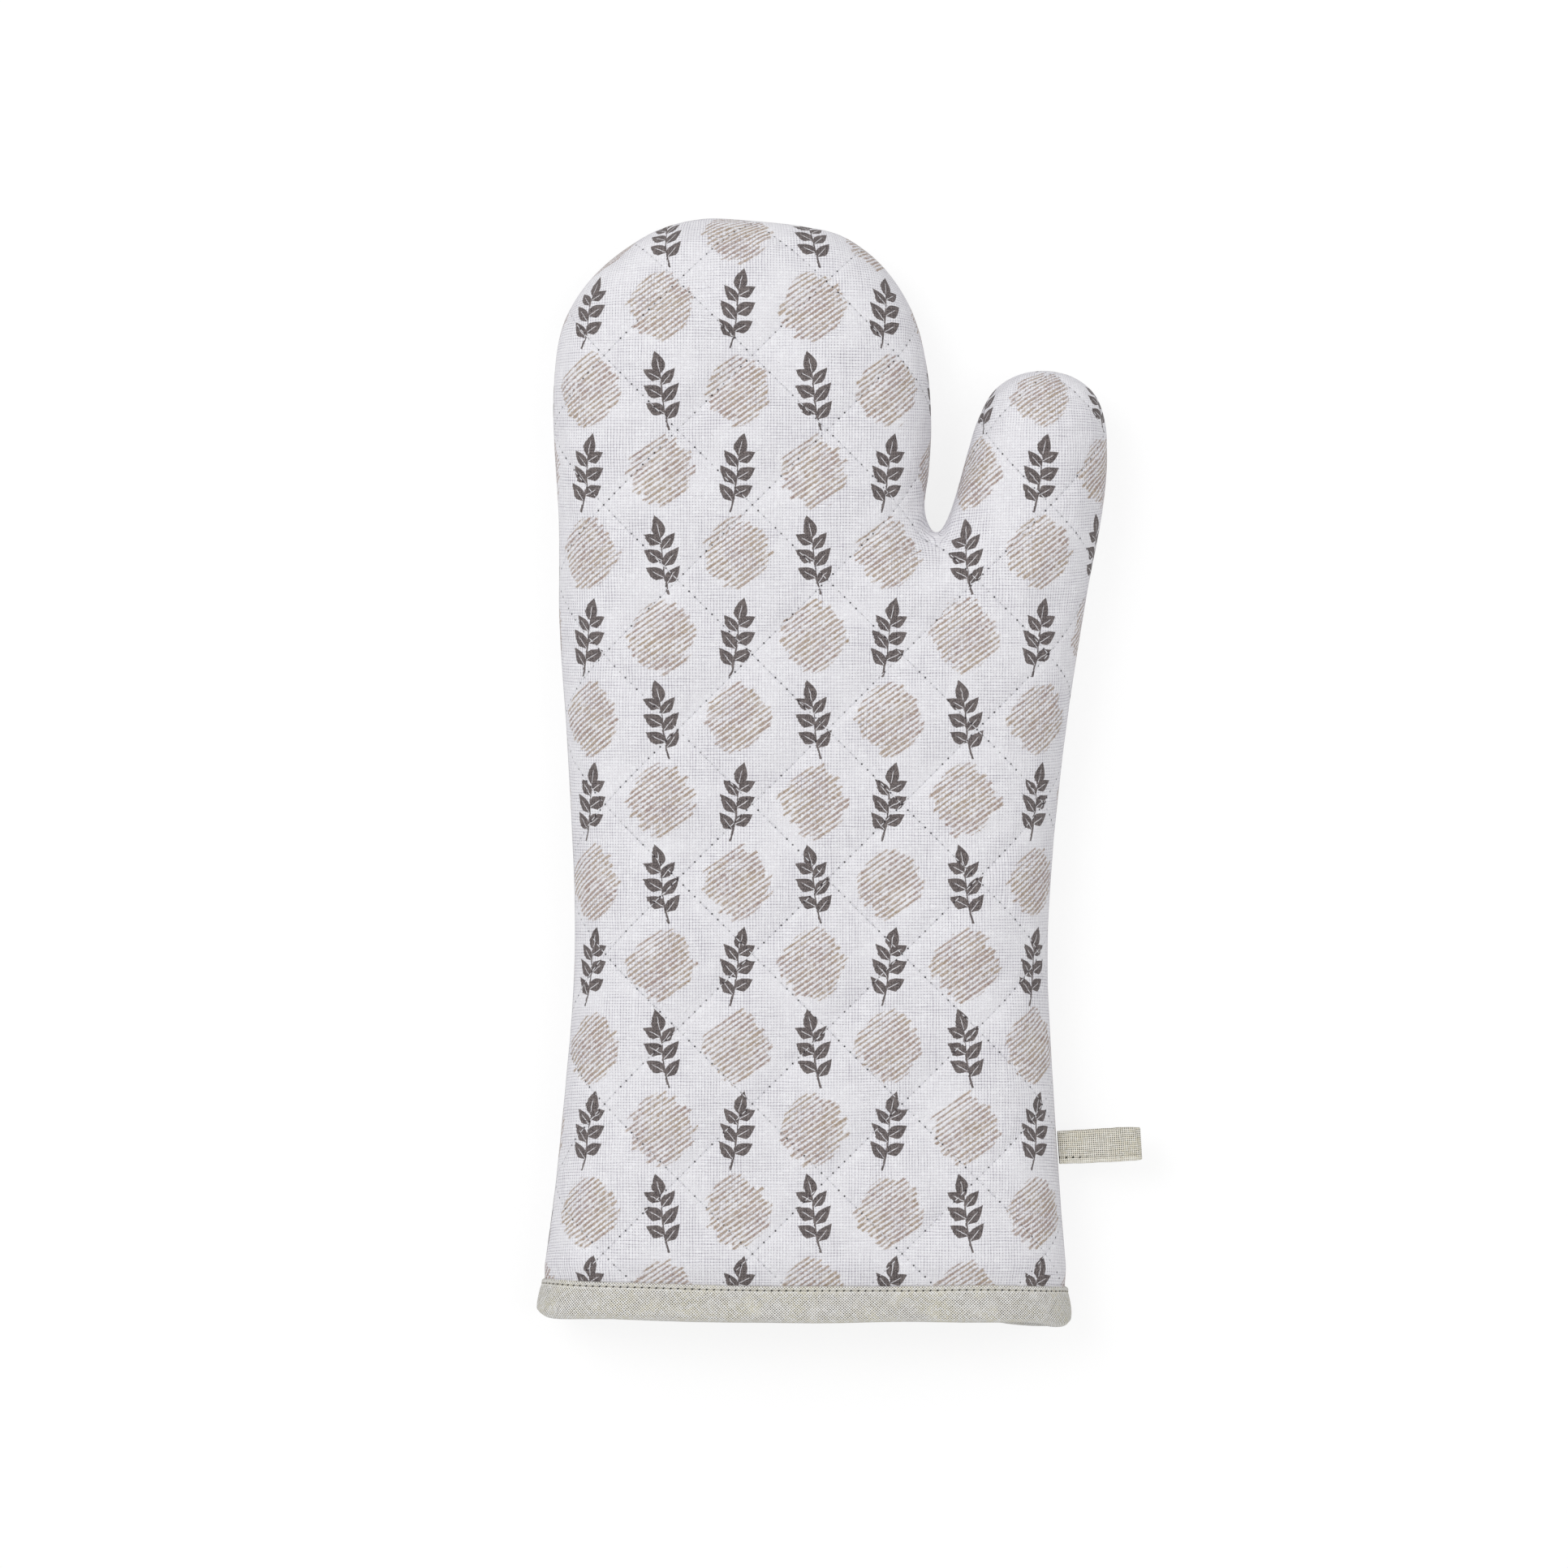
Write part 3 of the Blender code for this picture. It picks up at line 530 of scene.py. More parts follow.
def blown_up(plan, side):
    """How far the wadding blows up a cover, along its normals: Blender's cloth, cut a little too
    large and under pressure from inside, held along the side seam, the cuff and the sewn lines,
    each point by as much as its weight in the group says.

    It runs on every second column and row. Its movement is evened out between neighbours, goes
    to nothing at the sewn lines and the seam, and is limited by the tangent of its size."""
    surface, normals, flat = cloth_surface(plan, side)
    coarse = plan.ids[::2, ::2]
    used, places = np.unique(coarse, return_inverse=True)
    near = from_sewn_line(flat)
    faces = grid_faces(places.reshape(coarse.shape), flip=side == "back")
    mesh = bpy.data.meshes.new("blown_cover")
    mesh.from_pydata(surface[used].tolist(), [], faces)
    cover = set_down("blown_cover", mesh)
    held = bell(near, 1.2 * MM)
    held[(near < 0.8 * MM) | (plan.distance < 1.5 * MM)] = 1
    cuff = smooth(BINDING_RANGE - 2 * MM, BINDING_RANGE + 6 * MM, plan.points[:, 1])
    levels = np.rint(np.maximum(held, 1 - cuff)[used] * HELD_LEVELS).astype(int)
    group = cover.vertex_groups.new(name="held")
    for level in range(1, HELD_LEVELS + 1):
        group.add(np.flatnonzero(levels == level).tolist(), level / HELD_LEVELS, "REPLACE")
    cloth = cover.modifiers.new("Cloth", "CLOTH")
    cloth.settings.vertex_group_mass = group.name
    for name, value in BLOWN_CLOTH.items():
        setattr(cloth.settings, name, value)
    cloth.settings.effector_weights.gravity = 0
    cloth.collision_settings.use_collision = False
    cloth.point_cache.frame_start = 1
    cloth.point_cache.frame_end = BLOWN_FRAMES
    for frame in range(1, BLOWN_FRAMES + 1):
        bpy.context.scene.frame_set(frame)
    blown = cover.evaluated_get(bpy.context.evaluated_depsgraph_get()).to_mesh()
    after = np.empty(3 * len(used))
    blown.vertices.foreach_get("co", after)
    ends = np.empty(2 * len(mesh.edges), int)
    mesh.edges.foreach_get("vertices", ends)
    bpy.data.objects.remove(cover)
    bpy.data.meshes.remove(mesh)
    bpy.context.scene.frame_set(1)

    lift = ((after.reshape(-1, 3) - surface[used]) * normals[used]).sum(axis=1)
    one, other = ends.reshape(-1, 2).T
    count = np.bincount(ends, minlength=len(used))
    for _ in range(2):
        total = np.bincount(one, lift[other], len(used)) + np.bincount(other, lift[one], len(used))
        lift = (lift + total / count) / 2
    grid = lift[places].reshape(coarse.shape)
    for _ in (0, 1):
        wide = np.repeat(grid, 2, axis=0)[:-1]
        wide[1::2] = (grid[:-1] + grid[1:]) / 2
        grid = wide.T
    fine = np.zeros(len(flat))
    fine[plan.ids] = grid
    fine = BLOWN_LIMIT * np.tanh(fine / BLOWN_LIMIT)
    return fine * smooth(0, 2.5 * MM, near) * smooth(0, 5 * MM, plan.distance)


# Meshes


def set_down(name, data):
    """A new object in the scene."""
    piece = bpy.data.objects.new(name, data)
    bpy.context.scene.collection.objects.link(piece)
    return piece


def mesh_object(name, points, faces, material, flat=None, shared=None):
    """A smooth piece from its points on the plan and its faces, set down in the solids' frame.

    Its UV map holds each point's place on the flat cloth, in metres. Where the cloth closes on
    itself, faces may name more places than there are points, and shared gives each place's
    point."""
    mesh = bpy.data.meshes.new(name)
    corners = np.concatenate([np.ravel(face) for face in faces]).astype(int)
    if shared is not None:
        faces = [[shared[k] for k in face] for face in faces]
    mesh.from_pydata((points + PLACE).tolist(), [], faces)
    if flat is not None:
        layer = mesh.uv_layers.new(name="cloth")
        layer.data.foreach_set("uv", flat[corners].astype(np.float32).ravel())
    mesh.shade_smooth()
    mesh.materials.append(material)
    return set_down(name, mesh)


def thickened(piece, thickness):
    """The piece with a thickness under its surface."""
    solid = piece.modifiers.new("Thickness", "SOLIDIFY")
    solid.thickness = thickness
    solid.offset = -1
    return piece


def grid_faces(ids, flip=False):
    """Four-sided faces between neighbours of a grid of point numbers, as rows of numbers. Where
    two corners are one point the face has three sides."""
    faces = np.stack([ids[:-1, :-1], ids[:-1, 1:], ids[1:, 1:], ids[1:, :-1]], axis=-1)
    faces = faces.reshape(-1, 4)
    if flip:
        faces = faces[:, ::-1]
    doubled = (faces == np.roll(faces, -1, axis=1)).any(axis=1)
    whole = faces[~doubled].tolist()
    short = [list(dict.fromkeys(face)) for face in faces[doubled].tolist()]
    return whole + [face for face in short if len(face) == 3]


def ring_faces(ids, closing, flip=False):
    """Faces between rings of points, whose last side goes to the closing points, and both lids."""
    lids = [ids[0, ::-1].tolist(), ids[-1].tolist()]
    if flip:
        lids = [lid[::-1] for lid in lids]
    return grid_faces(np.column_stack([ids, closing]), flip) + lids


def padded_panel(plan, side, material):
    """A panel as one closed form: the quilted outside, the turned-in rim and the plain inside."""
    outside, normals, flat = cloth_surface(plan, side)
    plain, _ = rising(plan.points, plan.distance, plan.inwards, side)
    used, places = np.unique(plan.ids[:, INSIDE_ROWS], return_inverse=True)
    inside = plain[used] - PANEL_THICKNESS * normals[used]
    rim = plan.ids[:, 0]
    turned = [
        outside[rim] + np.column_stack([step * plan.inwards[rim], np.zeros(len(rim))])
        for step in RIM_TURNS
    ]
    count = len(outside) + len(inside)
    turns = count + np.arange(2 * len(rim)).reshape(2, -1)
    inner = len(outside) + places.reshape(len(rim), -1)
    ids = np.column_stack([inner[:, ::-1], turns[1], turns[0], plan.ids])
    front = side == "front"
    faces = grid_faces(ids, flip=not front)
    ends = [ids[0, ::-1].tolist(), ids[-1].tolist()]
    faces += ends if front else [end[::-1] for end in ends]
    points = np.vstack([outside, inside, *turned])
    places = np.vstack([flat, flat[used], flat[rim], flat[rim]])
    return mesh_object(f"{side}_panel", points, faces, material, places)


def lining_sheet(plan, side, material):
    """A lining: the panel's plain surface at its own depth, on a coarser grid, given thickness."""
    surface, _, flat = cloth_surface(plan, side, LINING_DEPTH, quilted=False)
    columns = np.unique(np.append(np.arange(0, len(plan.ids), 3), len(plan.ids) - 1))
    used, places = np.unique(plan.ids[np.ix_(columns, LINING_ROWS)], return_inverse=True)
    faces = grid_faces(places.reshape(len(columns), -1), flip=side == "back")
    surface, flat = surface[used], flat[used]
    surface[:, 2] += 0.25 * MM * wave(flat, 2.1, 47 * MM)
    piece = mesh_object(f"{side}_lining_sheet", surface, faces, material, flat)
    return thickened(piece, LINING_THICKNESS)


class ClothMap:
    """Finds the place in space of a place on a panel's flat cloth, in one half of the panel."""

    def __init__(self, plan, side, columns):
        self.surface, normals, self.flat = cloth_surface(plan, side)
        faces = grid_faces(plan.ids[columns])
        corners = [face[:3] for face in faces]
        corners += [[face[0], face[2], face[3]] for face in faces if len(face) == 4]
        self.faces = np.array(corners)
        a, b, c = (self.surface[self.faces[:, k]] for k in range(3))
        slopes = unit(np.cross(b - a, c - a))
        against = (slopes * normals[self.faces[:, 0]]).sum(axis=1) < 0
        self.normals = np.where(against[:, None], -slopes, slopes)
        self.level = np.column_stack([self.flat, np.zeros(len(self.flat))])
        self.tree = BVHTree.FromPolygons(self.level.tolist(), self.faces.tolist())

    def find(self, places):
        """The point, the normal and the distance from the cloth of each place."""
        points, normals, misses = [], [], []
        for x, y in places:
            at, _, face, miss = self.tree.find_nearest((x, y, 0))
            ends = [Vector(self.level[n]) for n in self.faces[face]]
            targets = [Vector(self.surface[n]) for n in self.faces[face]]
            points.append(barycentric_transform(at, *ends, *targets))
            normals.append(self.normals[face])
            misses.append(miss)
        return np.array(points), np.array(normals), np.array(misses)


def stitch_shape():
    """A short capsule along X: rings that grow and shrink, with a point at each end."""
    turn = np.linspace(0, 2 * math.pi, 6, endpoint=False)
    rings = [
        np.column_stack([np.full(6, x), width * np.cos(turn), 0.6 * width * np.sin(turn)])
        for x, width in ((-0.4, 0.85), (0, 1), (0.4, 0.85))
    ]
    points = np.vstack([[(-0.5, 0, 0)], *rings, [(0.5, 0, 0)]])
    ids = 1 + np.arange(18).reshape(3, 6)
    faces = grid_faces(np.column_stack([ids, ids[:, 0]]), flip=True)
    start = [(0, (k + 1) % 6 + 1, k + 1) for k in range(6)]
    end = [(19, k + 13, (k + 1) % 6 + 13) for k in range(6)]
    return points, [*faces, *start, *end]


def stitch_row(name, starts, ends, ups, thread, material):
    """Stitches as one piece: a capsule from each start to its end, whose ends dive into the cloth
    by the fourth power of their share of the half stitch."""
    thickness, dive = thread
    shape, faces = stitch_shape()
    run = ends - starts
    length = np.linalg.norm(run, axis=1)[:, None]
    way = run / length
    side = unit(np.cross(ups, way))
    up = np.cross(way, side)
    x, y, z = shape.T
    bow = z * thickness / 2 - dive * (2 * x) ** 4
    points = (
        (starts + ends)[:, None] / 2
        + way[:, None] * (length * x)[..., None]
        + side[:, None] * (y * thickness / 2)[:, None]
        + up[:, None] * bow[:, None]
    )
    steps = np.arange(len(starts))[:, None, None] * len(shape)
    every = []
    for sides in (4, 3):
        some = np.array([face for face in faces if len(face) == sides])
        every += (some + steps).reshape(-1, sides).tolist()
    return mesh_object(name, points.reshape(-1, 3), every, material)


def quilting_stitches(plan, side, material):
    """The quilting thread: a stitch between neighbouring needle holes on every sewn line.

    Rolled out flat, the fingers' edge and the thumb's lie over each other, so each half of the
    panel has its own map, and a stitch is sewn in each half that holds it."""
    reach = 9
    holes = np.arange(-reach * STITCHES_PER_SQUARE, reach * STITCHES_PER_SQUARE)
    line, hole = np.meshgrid(np.arange(-reach, reach + 1), holes / STITCHES_PER_SQUARE)
    line, hole = line.ravel().astype(float), hole.ravel()
    step = 1 / STITCHES_PER_SQUARE
    turn = QUILT_PITCH / math.sqrt(2) * np.array([[1, 1], [-1, 1]])
    starts, ends = (
        np.column_stack([np.append(line, at), np.append(at, line)]) @ turn + QUILT_CROSSING
        for at in (hole, hole + step)
    )
    parts = (slice(0, plan.crotch + 1), slice(plan.crotch, None))
    halves = [ClothMap(plan, side, part) for part in parts]
    flat = halves[0].flat
    here = ((starts > flat.min(0)) & (starts < flat.max(0))).all(1) & (starts[:, 1] > BINDING_RANGE)
    starts, ends = starts[here], ends[here]
    tuck = 0.13 * (ends - starts)
    found = [(half.find(starts + tuck), half.find(ends - tuck)) for half in halves]
    sewn = np.zeros(len(starts), bool)
    rows = []
    for one, other in ((0, 0), (1, 1), (0, 1), (1, 0)):
        (a, up_a, miss_a), (b, up_b, miss_b) = found[one][0], found[other][1]
        kept = (np.maximum(miss_a, miss_b) < 0.01 * MM) & (np.abs(a[:, 2]) > 3 * MM)
        kept &= np.linalg.norm(a - b, axis=1) < 1.3 * QUILT_PITCH / STITCHES_PER_SQUARE
        if one != other:
            kept &= ~sewn
        sewn |= kept
        ups = unit(up_a + up_b)[kept]
        rows.append((a[kept] + THREAD_LIFT * ups, b[kept] + THREAD_LIFT * ups, ups))
    starts, ends, ups = (np.vstack([row[k] for row in rows]) for k in range(3))
    name = f"{side}_quilting_stitches"
    return stitch_row(name, starts, ends, ups, QUILT_THREAD, material)


# The binding


class Mouth:
    """The closed line round the cuff, at two heights, in even steps along the front and back."""

    STEPS = (300, 290)

    def __init__(self):
        self.levels = [self.level(height) for height in (0, BINDING_RANGE)]
        self.front = np.arange(sum(self.STEPS)) < self.STEPS[0]
        line = self.levels[0][0]
        at = along(np.vstack([line, line[:1]]))
        self.places, self.length = at[:-1], float(at[-1])
        self.stitch = self.length / round(self.length / BINDING_STITCH)
        self.pull = 0.35 * MM * bell(CUFF_WIDTH / 2 - np.abs(line[:, 0]), 5 * MM)

    def level(self, height):
        """The line and its normals at a height: the front's, then the back's the other way."""
        left_x, right_x = (
            np.interp(height, part[:, 1], part[:, 0]) for part in (SEAM[:200], SEAM[:-200:-1])
        )
        share = (1 - np.cos(np.linspace(0, math.pi, 500))) / 2
        across = left_x + (right_x - left_x) * share
        points = np.column_stack([across, np.full(len(share), height)])
        distance = seam_distance(points)
        distance[[0, -1]] = 0
        inwards = np.where(share[:, None] < 0.5, (1, 0), (-1, 0)).astype(float)
        halves = []
        for (side, steps), way in zip(zip(SIDES, self.STEPS), (1, -1)):
            surface, normals = rising(points, distance, inwards, side)
            surface[[0, -1], 2] = 0
            places = np.linspace(0, along(surface)[-1], steps, endpoint=False)
            if way < 0:
                surface, normals = surface[::-1], normals[::-1]
            at = along(surface)
            halves.append([read_off(places, at, part) for part in (surface, normals)])
        return [np.vstack(both) for both in zip(*halves)]

    def edge(self, table):
        """The height of one of the binding's edges at each place round the mouth."""
        across = self.levels[0][0][:, 0]
        return np.where(self.front, *(binding_edge(table, side, across) for side in SIDES))

    def point(self, up, out):
        """Points round the mouth at a height and a distance out from the panels' plain surface."""
        (low, low_out), (high, high_out) = self.levels
        edge = BINDING_COVER + self.edge(BINDING_LOW)
        top = BINDING_RANGE + edge * (1 - BINDING_RANGE / CUFF_FADE) ** 2
        share = ((up - edge) / (top - edge))[:, None]
        normals = unit(low_out + (high_out - low_out) * np.clip(share, 0, 1))
        return low + (high - low) * share + (out - self.pull)[:, None] * normals, normals


# The binding's section: shares of its height, then distances up from its top or bottom edge,
# and distances out from the panels' plain surface, in millimetres
BINDING_SECTION = (
    (1, 0.0, -0.85), (1, 0.12, -0.5), (1, -0.02, -0.15), (1, -0.4, 0.04), (1, -0.8, 0.02),
    (1, -1.3, -0.2), (1, -1.8, -0.02), (1, -2.8, 0.2), (0.5, 0.0, 0.34), (0.25, 0.0, 0.28),
    (0, 1.3, 0.0), (0, 0.4, -0.7), (0, 0.0, -1.6), (0, 0.0, -3.1), (0, 0.4, -4.1),
    (0, 1.3, -4.7), (0.25, 0.0, -4.95), (0.5, 0.0, -5.0), (1, -2.8, -4.95), (1, -1.8, -4.8),
    (1, -1.3, -4.62), (1, -0.8, -4.8), (1, -0.4, -4.85), (1, -0.02, -4.7), (1, 0.12, -4.4),
    (1, 0.0, -4.1),
)


def binding_edges(mouth):
    """The binding's lower and upper edge round the mouth."""
    soft = 0.1 * MM * wave_along(mouth.places, 0.9, 61 * MM)
    return mouth.edge(BINDING_LOW) + soft, mouth.edge(BINDING_HIGH) + soft[::-1]


def binding_sections(mouth):
    """The binding's section at each place round the mouth: points up and out."""
    low, high = binding_edges(mouth)
    rows = [
        np.column_stack([low + share * (high - low) + up * MM, np.full(len(low), out * MM)])
        for share, up, out in BINDING_SECTION
    ]
    sections = np.stack(rows, axis=1)
    return np.stack([curve_through(section, SECTION_STEPS) for section in sections], axis=1)


def binding_rows(mouth):
    """The lengths round the section at which the two rows of stitches lie, and its bends."""
    down = along(binding_sections(mouth).mean(1))[::SECTION_STEPS].tolist()
    stitched, bent = (1, -BINDING_STITCH_DROP / MM), (0, 0.4)
    return tuple(
        [place for place, section in zip(down, BINDING_SECTION) if section[:2] == kind]
        for kind in (stitched, bent)
    )


def bias_binding(mouth, material):
    """The tape folded over the cuff's edge: its section is carried round the mouth, with the
    tape's slack standing out between the stitches and at the side seams."""
    low, high = binding_edges(mouth)
    section = binding_sections(mouth)
    rows, count = section.shape[:2]
    slack = 0.5 - 0.5 * np.cos(2 * math.pi * mouth.places / mouth.stitch)
    down = along(section.mean(1))
    points, flats = [], []
    for n in range(rows):
        up, out = section[n].T
        flat = np.column_stack([mouth.places, np.full(count, down[n])])
        close = bell(high - BINDING_STITCH_DROP - up, 1.1 * MM)
        body = smooth(0, 3 * MM, high - up)
        hang = BINDING_SLACK * (slack * close + wave(flat, 1.9, 19 * MM) * body)
        outer = 1 if n < rows / 2 else -1
        points.append(mouth.point(up, out + outer * hang)[0])
        flats.append(flat)
    # The tape's two ends meet at the left side seam
    ids = np.arange(rows * count).reshape(rows, count)
    shared = np.concatenate([ids.ravel(), ids[:, 0]]).tolist()
    ids = np.column_stack([ids, rows * count + np.arange(rows)])
    flats = np.vstack([*flats, np.column_stack([np.full(rows, mouth.length), down])])
    faces = grid_faces(ids, flip=True)
    piece = mesh_object("bias_binding", np.vstack(points), faces, material, flats, shared)
    return thickened(piece, BINDING_THICKNESS)


def binding_stitches(mouth, name, out, material):
    """One side's row of stitches along the binding's upper edge."""
    _, high = binding_edges(mouth)
    both = mouth.point(high - BINDING_STITCH_DROP, np.full(len(high), out))
    line, normals = (np.vstack([part, part[:1]]) for part in both)
    places = np.append(mouth.places, mouth.length)
    marks = np.arange(round(mouth.length / mouth.stitch)) * mouth.stitch
    gap = 0.3 * MM
    starts = read_off(marks + gap, places, line)
    ends = read_off(marks + mouth.stitch - gap, places, line)
    ups = unit(read_off(marks + mouth.stitch / 2, places, normals))
    if out == BINDING_INSIDE:
        ups = -ups
    return stitch_row(name, starts, ends, ups, BINDING_THREAD, material)


# The hanging loop


def loop_line():
    """The tape's middle line seen along the seam, out along the top and back underneath."""
    side = [
        (-1.63, 0.52), (0.4, 0.85), (4.4, 1.45), (9.3, 2.3), (14.8, 2.85), (19.2, 2.7),
        (22.2, 1.95), (23.6, 1.05), (24.0, 0.35),
    ]
    points = np.array(side + [(x, -y) for x, y in side[::-1]]) * MM
    line = curve_through(points, 12)
    return spread(line, np.linspace(0, along(line)[-1], 150))


def outwards(line):
    """The way out of the tape's outer face at each point of its line."""
    way = unit(np.gradient(line, axis=0))
    return np.column_stack([-way[:, 1], way[:, 0]])


def loop_section():
    """The tape's section: across and out, flat with rounded edges, and pressed in a little along
    its row of stitches."""
    half, thick, round_edge = LOOP_WIDTH / 2, LOOP_TAPE / 2, 0.42 * MM
    across = np.linspace(-half + round_edge, half - round_edge, 25)
    crown = thick * (1 - 0.13 * bell(across + half - LOOP_STITCH_EDGE, 0.6 * MM))
    turn = np.linspace(-math.pi / 2, math.pi / 2, 7)[1:-1]
    edge = np.column_stack([half - round_edge + round_edge * np.cos(turn), thick * np.sin(turn)])
    top = np.column_stack([across[::-1], crown[::-1]])
    return np.vstack([np.column_stack([across, -crown]), edge, top, edge[::-1] * (-1, 1)])


def loop_rows():
    """The lengths round the section at which the stitches and the outer face's low edge lie."""
    ring = loop_section()
    places = along(ring)
    outer = (ring[:, 1] > 0) & (np.abs(ring[:, 0]) <= LOOP_WIDTH / 2 - 0.4 * MM)
    across, places = ring[outer, 0][::-1], places[outer][::-1]
    low = -LOOP_WIDTH / 2
    return (float(np.interp(at, across, places)) for at in (low + LOOP_STITCH_EDGE, low + 0.5 * MM))


def hanging_loop(material):
    """A tape carried along the loop's line."""
    line, ring = loop_line(), loop_section()
    out = outwards(line)
    places = along(np.vstack([ring, ring[:1]]))
    length = along(line)
    slack = 0.06 * MM * wave_along(length, 0.4, 9 * MM)
    narrowed = 1 - 0.012 * np.sin(length / length[-1] * math.pi)
    y = ring[:, 0] * narrowed[:, None] + slack[:, None]
    x, z = (line[:, k, None] + out[:, k, None] * ring[:, 1] for k in (0, 1))
    points = loop_points(np.stack([x, y, z], axis=-1).reshape(-1, 3))
    ids = np.arange(y.size).reshape(y.shape)
    shared = np.append(ids, ids[:, 0]).tolist()
    faces = ring_faces(ids, ids.size + np.arange(len(line)))
    flat = np.stack(np.broadcast_arrays(length[:, None], places[None]), axis=-1)
    flat = np.vstack([flat[:, :-1].reshape(-1, 2), flat[:, -1]])
    return mesh_object("tape_loop", points, faces, material, flat, shared)


def loop_points(points):
    """Points beside the hinge, out from the seam, up along it and out of the front, on the plan.
    The tape is sewn in a little nearer the cuff than the hinge's middle, and sags that way, by a
    fixed drop and a share of the distance out."""
    up = np.array([-LOOP_OUT[1], LOOP_OUT[0]])
    raised = points[:, 1:2] - LOOP_DROP - LOOP_SAG * points[:, :1]
    plan = LOOP_HINGE + points[:, :1] * LOOP_OUT + raised * up
    return np.column_stack([plan, points[:, 2]])


def loop_stitches(material):
    """The row of stitches along the loop's lower edge, on the tape's outer face."""
    line = loop_line()
    out = outwards(line)
    outer = line + out * (LOOP_TAPE / 2 + THREAD_LIFT)
    length = along(outer)
    marks = np.arange(1, int(length[-1] / LOOP_STITCH) - 1) * LOOP_STITCH
    low = -LOOP_WIDTH / 2 + LOOP_STITCH_EDGE

    def placed(side, up):
        return loop_points(np.column_stack([side[:, 0], np.full(len(side), up), side[:, 1]]))

    ups = placed(read_off(marks, length, out), 0) - placed(np.zeros((len(marks), 2)), 0)
    gap = 0.25 * MM
    starts, ends = marks + gap, marks + LOOP_STITCH - gap
    starts, ends = (placed(spread(outer, places), low) for places in (starts, ends))
    return stitch_row("loop_stitches", starts, ends, ups, LOOP_THREAD, material)


# The seam allowance


def allowance(material, thread):
    """The layers' cut edges inside the side seam: a rounded ridge carried along the seam, with
    the overlock thread winding round it."""
    at = along(SEAM)

    def ridge_points(places, turn, deep, tall):
        """Points beside the seam, whose section is a rounded box, smaller towards the cuff."""
        seam, inwards = read_off(places, at, SEAM), unit(read_off(places, at, SEAM_IN))
        tucked = 0.45 + 0.55 * smooth(4 * MM, 26 * MM, np.minimum(places, at[-1] - places))
        out, up = (
            size * np.sign(part) * np.abs(part) ** 0.5
            for size, part in ((deep, np.cos(turn)), (tall, np.sin(turn)))
        )
        from_seam = RIDGE_FROM_SEAM + tucked * (RIDGE[0] + out)
        return np.column_stack([seam + inwards * from_seam[:, None], up * tucked])

    places = np.linspace(4 * MM, at[-1] - 4 * MM, 560)
    turn = np.linspace(0, 2 * math.pi, 20, endpoint=False)
    soft = np.repeat(1 + 0.06 * wave_along(places, 0.6, 13 * MM), len(turn))
    round_it = np.tile(turn, len(places))
    points = ridge_points(
        np.repeat(places, len(turn)), round_it, *(size * soft for size in RIDGE)
    )
    ids = np.arange(len(points)).reshape(len(places), -1)
    flat = np.stack(np.broadcast_arrays(places[:, None], turn[None] * 2 * MM), axis=-1)
    ridge = mesh_object(
        "seam_allowance_edges", points, ring_faces(ids, ids[:, 0]), material, flat.reshape(-1, 2)
    )
    turns = (places[-1] - places[0]) / OVERLOCK_PITCH
    steps = np.linspace(0, 1, int(turns * 10))
    place = places[0] + (places[-1] - places[0]) * steps
    line = ridge_points(place, steps * turns * 2 * math.pi, *OVERLOCK)
    return ridge, tube("overlock_thread", line, 0.17 * MM, 5, thread)


def tube(name, line, radius, sides, material):
    """A thread: a round section carried along a line, with both ends closed."""
    way = unit(np.gradient(line, axis=0))
    across = unit(np.cross(way, np.roll(way, 1, axis=0) + (0, 0, 0.3)))
    up = np.cross(across, way)
    turn = np.linspace(0, 2 * math.pi, sides, endpoint=False)
    ring = across[:, None] * np.cos(turn)[:, None] + up[:, None] * np.sin(turn)[:, None]
    points = line[:, None] + radius * ring
    ids = np.arange(len(line) * sides).reshape(len(line), sides)
    faces = ring_faces(ids, ids[:, 0], flip=True)
    return mesh_object(name, points.reshape(-1, 3), faces, material)


# Materials


def colour(red, green, blue):
    """A shader colour from a screen colour's three values, 0 to 255."""
    screen = np.array([red, green, blue]) / 255
    light = np.where(screen <= 0.04045, screen / 12.92, ((screen + 0.055) / 1.055) ** 2.4)
    return (*light.tolist(), 1.0)


def written(operation, turned=False):
    """An operator of shader values, which adds one math node."""

    def operator(value, other=0.0):
        pair = (other, value) if turned else (value, other)
        return value.writer.math(operation, *pair)

    return operator


class Value:
    """A node's output. Sums are written with it as with numbers."""

    def __init__(self, writer, socket):
        self.writer = writer
        self.socket = socket

    __add__, __radd__ = written("ADD"), written("ADD", True)
    __sub__, __rsub__ = written("SUBTRACT"), written("SUBTRACT", True)
    __mul__, __rmul__ = written("MULTIPLY"), written("MULTIPLY", True)
    __truediv__, __rtruediv__ = written("DIVIDE"), written("DIVIDE", True)
    __pow__, __mod__, __abs__ = written("POWER"), written("FLOORED_MODULO"), written("ABSOLUTE")


